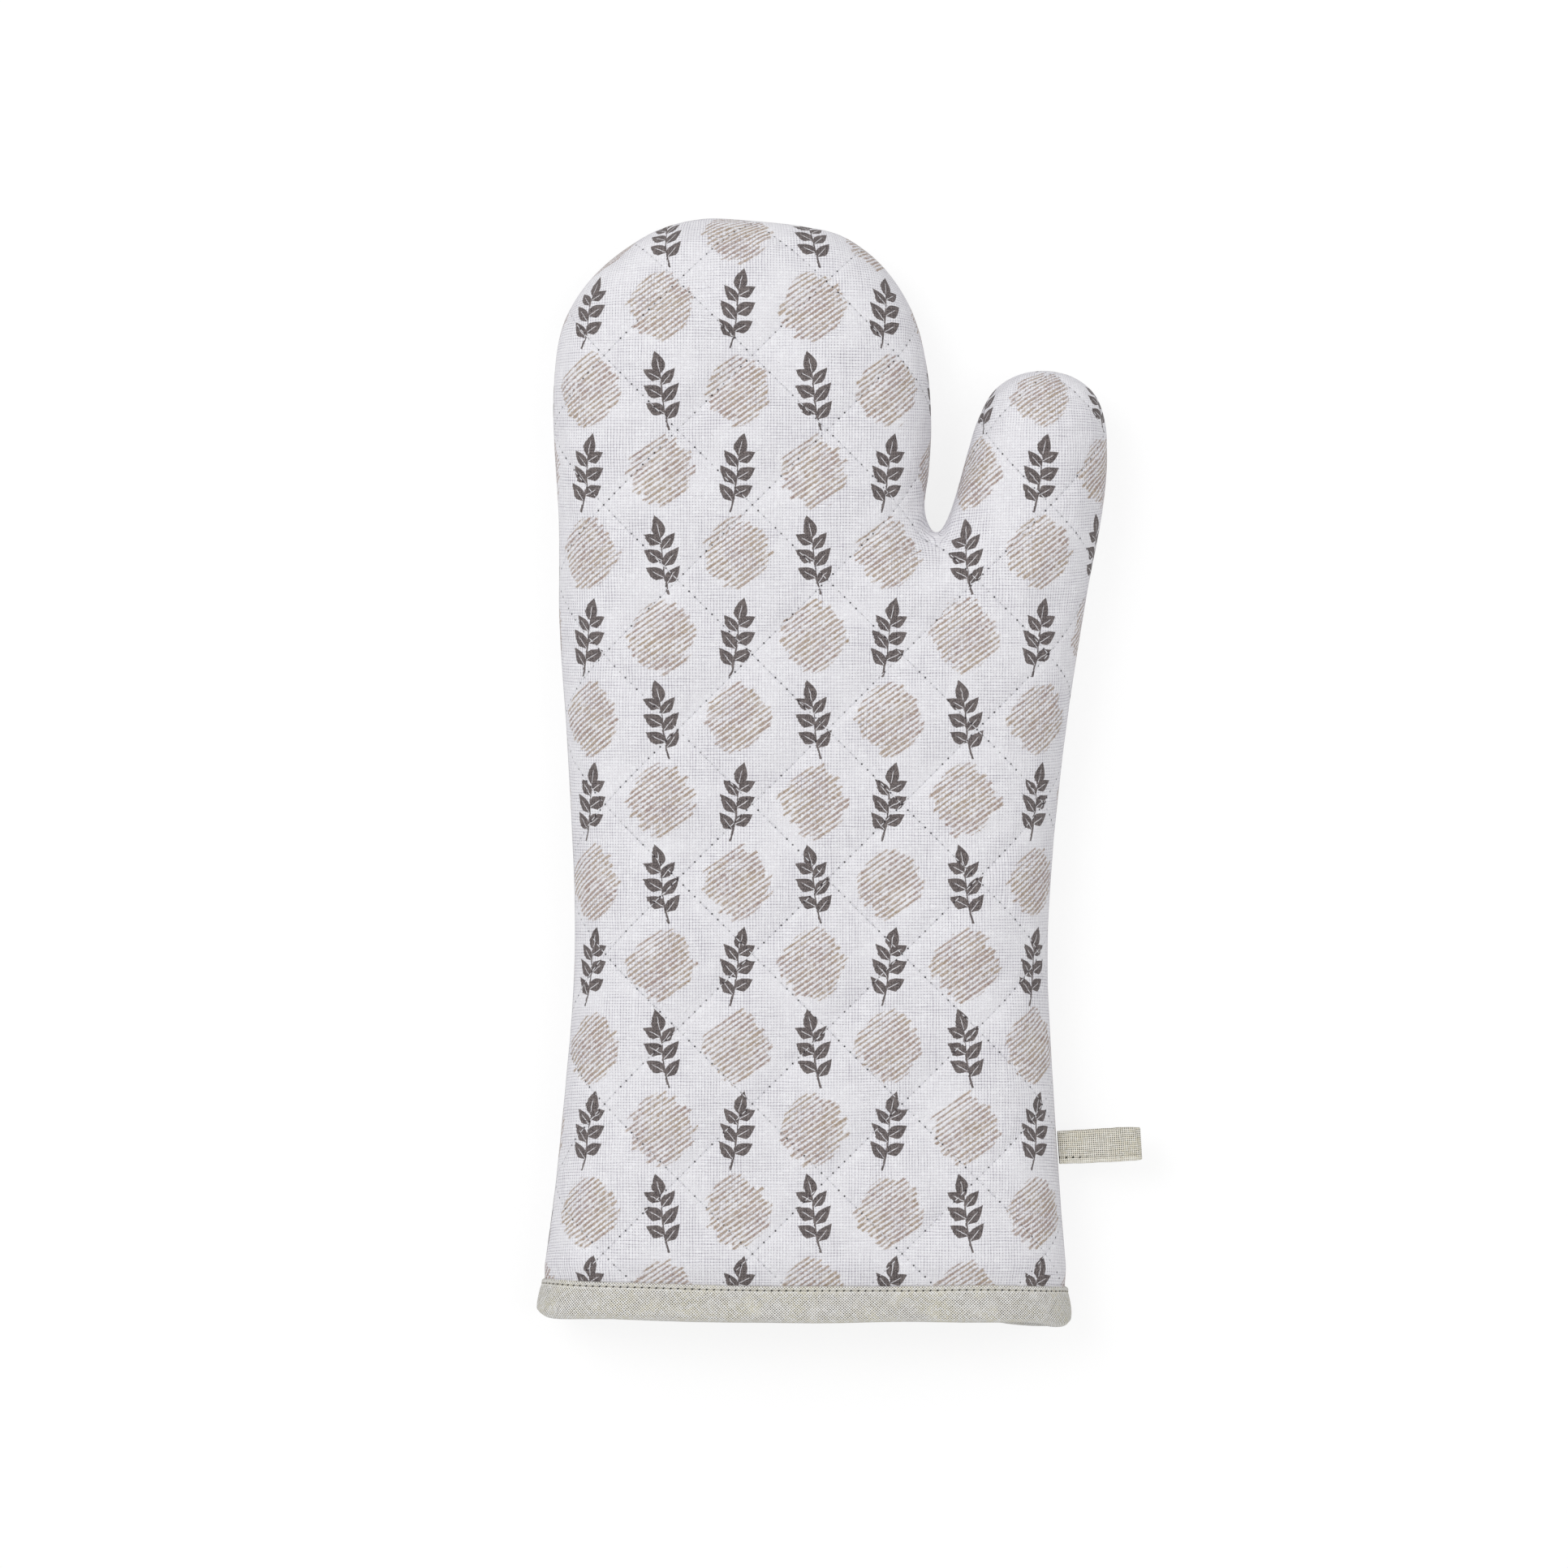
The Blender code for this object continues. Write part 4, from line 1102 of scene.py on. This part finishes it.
class Writer:
    """Writes a node tree: each call adds a node and returns one output, mostly the first."""

    def __init__(self, tree):
        self.tree = tree

    def node(self, kind, inputs=(), out=0, **settings):
        made = self.tree.nodes.new(kind)
        for name, value in settings.items():
            setattr(made, name, value)
        for place, value in dict(inputs).items():
            self.feed(made.inputs[place], value)
        return Value(self, made.outputs[out]) if made.outputs else None

    def feed(self, socket, value):
        if isinstance(value, Value):
            self.tree.links.new(value.socket, socket)
        else:
            socket.default_value = value

    def math(self, operation, a, b=0.0):
        return self.node("ShaderNodeMath", {0: a, 1: b}, operation=operation)

    def larger(self, a, b):
        return self.math("MAXIMUM", a, b)

    def step(self, value, low, high):
        """0 below low and 1 above high, with a soft step between them."""
        inputs = {"Value": value, "From Min": low, "From Max": high}
        return self.node("ShaderNodeMapRange", inputs, interpolation_type="SMOOTHSTEP")

    def parts(self, vector):
        x = self.node("ShaderNodeSeparateXYZ", {0: vector})
        return x, Value(self, x.socket.node.outputs[1])

    def vector(self, x, y, z=0.0):
        return self.node("ShaderNodeCombineXYZ", {0: x, 1: y, 2: z})

    def scaled(self, vector, size):
        return self.node("ShaderNodeVectorMath", {0: vector, "Scale": size}, operation="SCALE")

    def noise(self, vector, scale, detail=2.0, rough=0.5):
        inputs = {"Vector": vector, "Scale": scale, "Detail": detail, "Roughness": rough}
        return self.node("ShaderNodeTexNoise", inputs)

    def chance(self, vector):
        return self.node("ShaderNodeTexWhiteNoise", {"Vector": vector})

    def turned(self, x, y, angle):
        """x and y in axes turned by an angle, which is a number."""
        c, s = math.cos(angle), math.sin(angle)
        return x * c + y * s, y * c - x * s

    def mix(self, share, a, b):
        """Two tones mixed: each is a node's, or a screen colour's three values, 0 to 255."""
        a, b = (tone if isinstance(tone, Value) else colour(*tone) for tone in (a, b))
        return self.node("ShaderNodeMix", {0: share, 6: a, 7: b}, out=2, data_type="RGBA")

    def group(self, tree, **inputs):
        made = self.node("ShaderNodeGroup", inputs, node_tree=tree).socket.node
        return {socket.name: Value(self, socket) for socket in made.outputs}


class Group(Writer):
    """A node group with named inputs: a number is its input's plain value, and None is a place."""

    def __init__(self, name, **inputs):
        super().__init__(bpy.data.node_groups.new(name, "ShaderNodeTree"))
        for title, value in inputs.items():
            kind = "NodeSocketVector" if value is None else "NodeSocketFloat"
            socket = self.tree.interface.new_socket(title, in_out="INPUT", socket_type=kind)
            if value is not None:
                socket.default_value = value
        start = self.tree.nodes.new("NodeGroupInput")
        self.given = [Value(self, socket) for socket in start.outputs if socket.name]

    def result(self, **outputs):
        """Gives the group its outputs, and returns its tree."""
        for title in outputs:
            self.tree.interface.new_socket(title, in_out="OUTPUT", socket_type="NodeSocketFloat")
        end = self.tree.nodes.new("NodeGroupOutput")
        for title, value in outputs.items():
            self.feed(end.inputs[title], value)
        return self.tree


def weave_group():
    """A plain weave: threads across and up, each over one and under the next.

    Each thread's profile is a sine of its own place, and the thread on top is the one that the
    two sines' joint sign picks. The lines between the threads fade in and out by patches."""
    n = Group("Plain weave", Place=None, Pitch=MM, Turn=0.0, Slub=0.2, Open=0.62)
    place, pitch, turn, slub, wide = n.given
    turned = n.node(
        "ShaderNodeVectorRotate", {"Vector": place, "Angle": turn}, rotation_type="Z_AXIS"
    )
    x, y = n.parts(n.scaled(turned, 1.0 / pitch))
    drift_x = n.noise(n.vector(x * 0.9, y * 0.11), 1.0) - 0.5
    drift_y = n.noise(n.vector(x * 0.11, y * 0.9, 7.0), 1.0) - 0.5
    x = x + drift_x * (slub * 3.0)
    y = y + drift_y * (slub * 3.0)
    wave_x, wave_y = (n.math("SINE", part * math.pi) for part in (x, y))
    sign = n.math("SIGN", wave_x * wave_y)
    round_x, round_y = abs(wave_x), abs(wave_y)
    up = round_x * (0.6 + 0.4 * (sign * round_y))
    across = round_y * (0.6 - 0.4 * (sign * round_x))
    lines = []
    for level, seed, way in ((round_x, 3.0, (0.22, 0.05)), (round_y, 11.0, (0.05, 0.22))):
        patch = n.noise(n.vector(x * way[0], y * way[1], seed), 1.0)
        shown = 0.25 + 0.75 * n.step(patch, 0.38, 0.62)
        lines.append(shown * (1.0 - n.step(level, 0.05, 0.55)))
    return n.result(
        Height=n.larger(up, across),
        Gap=1.0 - n.step(n.larger(round_x, round_y), wide * 0.25, wide),
        Line=n.larger(*lines),
        Thread=n.chance(n.vector(n.math("FLOOR", x), n.math("FLOOR", y), sign)),
    )


def leaf_group():
    """A pointed leaf: its half width is the sine of its share of the length, bent to be widest
    near its foot, and a fine pale line runs up its middle."""
    n = Group("Leaf", Across=0.0, Up=0.0, Length=5.0, Width=1.0, Edge=0.0)
    across, up, length, width, edge = n.given
    share = up / length
    held = n.math("MINIMUM", n.larger(share, 0.0), 1.0)
    half = n.math("SINE", held**0.72 * math.pi) * width
    off = abs(across)
    vein = n.larger(n.step(off, 0.03, 0.16), n.step(share, 0.5, 0.7))
    return n.result(Ink=n.step(half - off + edge, 0.0, INK_EDGE) * vein)


def sprig_group(leaf):
    """A sprig: a gently bent stem with pairs of leaves up it and one leaf at its tip.

    Both sides are one by the distance from the stem, and the pairs by the remainder of the
    height. A leaf reaches into the pair above, so each place asks two pairs."""
    n = Group("Sprig", X=0.0, Y=0.0, Edge=0.0)
    x, y, edge = n.given
    x = x - n.math("SINE", y * 0.17) * 0.9
    side = abs(x)
    stem = n.step(0.3 + y * -0.01 - side + edge, 0.0, INK_EDGE)
    ink = stem * (n.step(y, -12.7, -12.4) * (1.0 - n.step(y, 6.0, 6.3)))
    raised = y + n.math("SIGN", x) * 0.9 + 8.0
    pair = n.math("FLOOR", raised / LEAF_PITCH)
    for below in (0.0, 1.0):
        number = pair - below
        real = n.step(number, -0.6, -0.4) * (1.0 - n.step(number, 2.4, 2.6))
        size = 1.0 - abs(number - 0.7) * 0.12
        across, up = n.turned(side, raised - number * LEAF_PITCH, -math.radians(50))
        length, width = (size * whole for whole in LEAF_SIZE)
        drawn = n.group(leaf, Across=across, Up=up, Length=length, Width=width, Edge=edge)
        ink = n.larger(ink, drawn["Ink"] * real)
    tip = n.group(leaf, Across=x, Up=y - 5.4, Length=7.6, Width=2.2, Edge=edge)
    return n.result(Ink=n.larger(ink, tip["Ink"]))


def brushwork_group():
    """A lozenge of dry brush strokes that lie aslant: each stroke has its own ends, width and
    breaks, from noise that is drawn out along it."""
    n = Group("Brushed lozenge", X=0.0, Y=0.0, Seed=0.0)
    x, y, seed = n.given
    run, over = n.turned(x, y, math.radians(35))
    over = over + (n.noise(n.vector(run * 0.05, over), 1.0) - 0.5) * 0.9
    stroke = over / STROKE_PITCH
    number = n.math("ROUND", stroke)
    off = abs(stroke - number) * STROKE_PITCH
    ragged = n.noise(n.vector(run * 0.16, number * 3.7, seed), 1.0, 1.0)
    body = n.noise(n.vector(run * 0.9, over * 2.2, seed), 1.0, 3.0, 0.7) - 0.5
    drawn = n.step(0.24 + ragged * 0.44 - off + body * 0.9, -0.05, 0.2)
    reach = (abs(x) / 11.6) ** 1.6 + (abs(y) / 12.6) ** 1.6
    within = 0.9 + (n.chance(n.vector(number, seed)) - 0.5) * 0.34 - reach
    return n.result(Ink=drawn * n.step(within + body * 0.3, 0.0, 0.07))


def needle_group():
    """The sewn lines' own marks: painted shade in the needle holes, as dark spots, and the cloth
    drawn in between them.
    """
    n = Group("Needle marks", Place=None)
    size = 1 / QUILT_PITCH / math.sqrt(2)
    x, y = ((part - start) * size for part, start in zip(n.parts(n.given[0]), QUILT_CROSSING))
    lines = (x + y, y - x)
    holes, puckers, nears = [], [], []
    for one, other, seed in ((*lines, 3.0), (*lines[::-1], 11.0)):
        number = n.math("ROUND", one)
        off = (one - number) * (QUILT_PITCH / MM)
        step = other * float(STITCHES_PER_SQUARE)
        hole = n.math("ROUND", step)
        down = (step - hole) * (QUILT_PITCH / STITCHES_PER_SQUARE / MM)
        chance = n.chance(n.vector(number, hole, seed))
        # A dark spot at each needle hole: painted shade in the hole, darker at some holes than at
        # others
        spot = 1.0 - n.step(n.math("SQRT", off * off + down * down), 0.15, 0.34 + chance * 0.12)
        holes.append(spot * (0.5 + 0.5 * n.step(chance, 0.1, 0.8)))
        near, fine, groove = (
            1.0 - n.step(abs(off), low, high) for low, high in ((0.0, 3.4), (0.1, 2.4), (0.0, 0.8))
        )
        nears.append(near)
        ripple = n.math("COSINE", step * (2 * math.pi))
        puckers.append(ripple * fine * -0.4 + groove * -0.45)
    return n.result(Hole=n.larger(*holes), Pucker=puckers[0] + puckers[1], Near=n.larger(*nears))


def cloth_material(name, roughness, sheen):
    """A new cloth, its writer, its shader and its place on the flat cloth."""
    cloth = bpy.data.materials.new(name)
    cloth.use_nodes = True
    n = Writer(cloth.node_tree)
    shader = cloth.node_tree.nodes["Principled BSDF"]
    for place, value in (
        ("Roughness", roughness), ("Specular IOR Level", 0.25), ("Sheen Weight", sheen),
        ("Sheen Roughness", 0.5),
    ):
        shader.inputs[place].default_value = value
    return cloth, n, shader, n.node("ShaderNodeUVMap", uv_map="cloth")


def finished(cloth, n, shader, tone, *heights):
    """The cloth with its colour and its relief, a sum of heights with their sizes in metres."""
    n.feed(shader.inputs["Base Color"], tone)
    total, *others = [height * size for height, size in heights]
    for part in others:
        total = total + part
    bump = n.node("ShaderNodeBump", {"Strength": 1.0, "Distance": 1.0, "Height": total})
    n.feed(shader.inputs["Normal"], bump)
    return cloth


def printed_cotton(groups):
    """White plain-woven cotton with charcoal sprigs and taupe brushed lozenges in turn, like the
    squares of a chessboard, and the quilting's needle marks, with painted shade in the needle
    holes."""
    cloth, n, shader, place = cloth_material("printed_cotton", 0.92, 0.08)
    weave = n.group(groups["weave"], Place=place, Pitch=0.95 * MM, Slub=0.22, Open=0.66)
    needle = n.group(groups["needle"], Place=place)
    # The print's own place in millimetres, pulled about a little by the threads and the sewing
    x, y = n.parts(n.scaled(place, 1 / MM))
    rough = n.noise(place, 1400.0) - 0.5
    pulled = n.noise(place, 260.0, 1.0) - 0.5
    thread = weave["Thread"] - 0.5
    x = x + (rough * 0.3 + needle["Near"] * pulled * 1.6) + thread * 0.16
    y = y + (rough * 0.3 + needle["Pucker"] * 0.2)
    cell_x, cell_y = (
        (part + start) / size for part, start, size in zip((x, y), PRINT_START, PRINT_CELL)
    )
    column, row = n.math("FLOOR", cell_x), n.math("FLOOR", cell_y)
    local_x = (cell_x - column - 0.5) * PRINT_CELL[0]
    local_y = (cell_y - row - 0.5) * PRINT_CELL[1]
    odd = (column + row) % 2.0
    # Every second row of sprigs is mirrored, and each leans
    way = row % 2.0 * 2.0 - 1.0
    lean_x = (local_x * 0.97 + local_y * way * 0.24) * way
    lean_y = local_y * 0.97 - local_x * way * 0.24
    edge = rough * 0.4 + thread * 0.16
    sprig = n.group(groups["sprig"], X=lean_x, Y=lean_y + 0.6, Edge=edge)["Ink"] * odd
    seed = column * 1.7 + row * 5.3
    brushed = n.group(groups["brushwork"], X=local_x, Y=local_y, Seed=seed)["Ink"]
    brushed = brushed * (1.0 - odd)
    # The bare cloth, whose thread lines show by patches
    fibre = n.noise(place, 3200.0)
    showing = n.step(n.noise(place, 55.0) + needle["Near"] * -0.12, 0.25, 0.6)
    tone = n.mix(n.step(fibre, 0.3, 0.7), (224, 222, 226), (246, 246, 250))
    tone = n.mix(n.step(weave["Thread"], 0.5, 1.0) * 0.4, tone, (250, 250, 253))
    tone = n.mix(weave["Line"] * (0.2 + showing * 0.62), tone, (190, 186, 196))
    tone = n.mix(weave["Gap"] * (0.25 + showing * 0.6), tone, (132, 128, 140))
    # The inks, which the threads take up unevenly
    warm = n.step(n.noise(place, 120.0, 1.0), 0.35, 0.65)
    warm = n.mix(warm, (164, 146, 126), (154, 133, 128))
    taupe = n.mix(n.step(n.noise(place, 1000.0), 0.35, 0.75), warm, (196, 180, 167))
    taupe = n.mix(weave["Gap"] * 0.7, taupe, (98, 85, 79))
    take = (1.0 - weave["Line"] * 0.4) * (1.0 - n.step(weave["Thread"], 0.6, 1.0) * 0.45)
    tone = n.mix(brushed * take, tone, taupe)
    spun = n.mix(n.step(weave["Thread"], 0.2, 1.0), (68, 59, 60), (102, 93, 92))
    charcoal = n.mix(n.step(fibre, 0.42, 0.66), spun, (136, 127, 125))
    charcoal = n.mix(weave["Line"] * 0.4, charcoal, (48, 42, 43))
    charcoal = n.mix(weave["Gap"] * 0.8, charcoal, (38, 33, 35))
    tone = n.mix(sprig * 0.97, tone, charcoal)
    # Painted shade: the needle holes darkened to dark spots
    tone = n.mix(needle["Hole"], tone, (52, 48, 54))
    return finished(
        cloth, n, shader, tone, (weave["Height"], 0.075 * MM), (needle["Pucker"], 0.14 * MM),
        (rough, 0.05 * MM), (thread, 0.03 * MM),
    )


def tape_cloth(groups, name, turn, tones, rows, bends, stitch, sewn_to=1e6):
    """A plain-woven tape whose dark gaps show between pale yarns and close towards its bends,
    with painted shade as a dark spot in the needle's hole at each stitch's ends on its sewn rows."""
    pale, mean, warm, dark = tones
    cloth, n, shader, place = cloth_material(name, 0.9, 0.06)
    weave = n.group(groups["weave"], Place=place, Pitch=0.66 * MM, Turn=turn, Slub=0.14, Open=1.1)
    fibre = n.noise(place, 3600.0)
    x, y = n.parts(n.scaled(place, 1 / MM))
    tone = n.mix(n.step(n.noise(place, 90.0, 3.0), 0.35, 0.65), mean, warm)
    tone = n.mix(n.step(weave["Thread"], 0.2, 0.9) * 0.85, tone, pale)
    tone = n.mix(fibre * 0.18, tone, dark)
    tone = n.mix(weave["Line"] * 0.2, tone, dark)
    shown = 1.0 - abs(n.noise(place, 160.0) - 0.5) * 1.8
    for bend, reach in bends:
        shown = shown * (0.4 + 0.6 * n.step(abs(y - bend / MM), 0.3, reach))
    tone = n.mix(n.step(weave["Gap"], 0.15, 0.72) * shown, tone, dark)
    step = x / (stitch / MM)
    off_x = (step - n.math("ROUND", step)) * (stitch / MM)
    seen = 1.0 - n.step(x, sewn_to, 2 * sewn_to) * 0.85
    # Painted shade: a dark spot in each needle hole at the stitches' ends, fading out beyond
    # sewn_to
    for row in rows:
        off_y = y - row / MM + off_x * 0.35
        away = n.math("SQRT", off_x * off_x * 0.8 + off_y * off_y)
        tone = n.mix((1.0 - n.step(away, 0.2, 0.42)) * seen, tone, (40, 37, 33))
    return finished(cloth, n, shader, tone, (weave["Height"], 0.16 * MM), (fibre, 0.03 * MM))


def plain_cotton(groups, name, tone, gap):
    """A plain white cotton."""
    cloth, n, shader, place = cloth_material(name, 0.93, 0.05)
    weave = n.group(groups["weave"], Place=place, Pitch=0.6 * MM, Slub=0.18)
    worn = n.mix(n.noise(place, 40.0, 3.0) * 0.3, tone, gap)
    worn = n.mix(weave["Gap"] * 0.6, worn, gap)
    return finished(cloth, n, shader, worn, (weave["Height"], 0.08 * MM))


def thread_cloth(name, pale, shade):
    """Spun thread: two tones and a fine nap from noise on the object's own place."""
    cloth, n, shader, _ = cloth_material(name, 0.75, 0.1)
    fibre = n.noise(n.node("ShaderNodeTexCoord", out="Object"), 4200.0)
    return finished(cloth, n, shader, n.mix(fibre, shade, pale), (fibre, 0.05 * MM))


# The stage


def direct(n, *rays):
    """1 for these kinds of ray, and 0 for others."""
    first, *others = [n.node("ShaderNodeLightPath", out=f"Is {ray} Ray") for ray in rays]
    for ray in others:
        first = n.larger(first, ray)
    return first


def emptied(owner):
    """A writer of a material's or a world's tree, with its own nodes taken out."""
    owner.use_nodes = True
    owner.node_tree.nodes.clear()
    return Writer(owner.node_tree)


def stage():
    """A white floor that keeps a faint shadow, soft lamps, a pale world and the camera."""
    mesh = bpy.data.meshes.new("floor")
    mesh.from_pydata([(-9, -9, 0), (9, -9, 0), (9, 9, 0), (-9, 9, 0)], [], [(0, 1, 2, 3)])
    set_down("floor", mesh)
    white = bpy.data.materials.new("floor_white")
    mesh.materials.append(white)
    n = emptied(white)
    plain = n.node("ShaderNodeBsdfDiffuse", {"Color": (0.8, 0.8, 0.8, 1)})
    faint = n.node("ShaderNodeBsdfDiffuse", {"Color": (0.22, 0.22, 0.22, 1)})
    glow = n.node("ShaderNodeEmission", {"Color": (1, 1, 1, 1), "Strength": 0.81})
    shown = n.node("ShaderNodeAddShader", {0: faint, 1: glow})
    seen = direct(n, "Camera", "Glossy", "Transmission")
    both = n.node("ShaderNodeMixShader", {0: seen, 1: plain, 2: shown})
    n.node("ShaderNodeOutputMaterial", {"Surface": both})

    world = bpy.data.worlds.new("pale_room")
    bpy.context.scene.world = world
    n = emptied(world)
    room, behind = (
        n.node("ShaderNodeBackground", {"Color": (1, 1, 1, 1), "Strength": strength})
        for strength in (0.58, 1.0)
    )
    seen = direct(n, "Camera", "Transmission")
    both = n.node("ShaderNodeMixShader", {0: seen, 1: room, 2: behind})
    n.node("ShaderNodeOutputWorld", {"Surface": both})

    for name, place, size, power in LAMPS:
        lamp = bpy.data.lights.new(name, "AREA")
        lamp.size = size
        lamp.energy = power
        holder = set_down(name, lamp)
        holder.location = place
        holder.rotation_euler = (-Vector(place)).to_track_quat("-Z", "Y").to_euler()

    camera = bpy.data.cameras.new("camera")
    camera.lens = 100
    camera.sensor_width = 36
    holder = set_down("camera", camera)
    holder.location = Vector((*CAMERA_FOOT, CAMERA_HEIGHT)) + Vector(PLACE)
    bpy.context.scene.camera = holder
    bpy.context.scene.view_settings.view_transform = "Standard"


def flat_area(piece):
    """The area of a piece's faces."""
    areas = np.empty(len(piece.data.polygons))
    piece.data.polygons.foreach_get("area", areas)
    return float(areas.sum())


def dress(piece, body, slot, *nodes):
    """Puts a piece on its body, in place of the nodes that it stands for. The slot is not used."""
    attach(piece, body)
    if nodes:
        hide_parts(*nodes)


def main():
    groups = {"weave": weave_group(), "needle": needle_group(), "brushwork": brushwork_group()}
    groups["sprig"] = sprig_group(leaf_group())
    cotton = printed_cotton(groups)
    lining = plain_cotton(groups, "lining_cotton", (226, 224, 219), (190, 187, 181))
    mouth = Mouth()
    rows, folds = binding_rows(mouth)
    bias = tape_cloth(
        groups, "bias_tape", math.radians(45), BIAS_TONES, rows,
        [(row, 1.2) for row in rows] + [(fold, 1.6) for fold in folds], mouth.stitch,
    )
    sewn, edge = loop_rows()
    straight = tape_cloth(
        groups, "loop_tape", 0.0, LOOP_TONES, [sewn], [(edge, 1.0)], LOOP_STITCH, LOOP_SEWN_TO
    )
    white_thread = thread_cloth("quilting_thread", (240, 240, 244), (222, 222, 228))
    grey_thread = thread_cloth("binding_thread", (206, 202, 190), (170, 165, 153))

    stage()
    plan = Plan()
    for side in SIDES:
        plan.blown[side] = blown_up(plan, side)
        panel = padded_panel(plan, side, cotton)
        dress(panel, "glove", "printed_cotton", f"{side}_cover", f"{side}_wadding")
        dress(quilting_stitches(plan, side, white_thread), "glove", "sewing_thread")
        inner = lining_sheet(plan, side, lining)
        dress(inner, "glove", "lining_cotton", f"{side}_lining")
        flat_area(inner)
    edges, overlock = allowance(lining, white_thread)
    dress(edges, "glove", "lining_cotton", "seam_allowance")
    dress(overlock, "glove", "sewing_thread")
    binding = bias_binding(mouth, bias)
    dress(binding, "glove", "bias_tape", "cuff_binding")
    flat_area(binding) / mouth.length
    for name, out, node in (
        ("binding_stitches_outside", 0.0, "binding_needle_thread"),
        ("binding_stitches_inside", BINDING_INSIDE, "binding_bobbin_thread"),
    ):
        row = binding_stitches(mouth, name, out, grey_thread)
        dress(row, "glove", "sewing_thread", node)
    loop = hanging_loop(straight)
    dress(loop, "loop", "loop_tape", "hanging_loop")
    tape = float(along(loop_line())[-1])
    dress(loop_stitches(grey_thread), "loop", "sewing_thread", "loop_thread")


main()
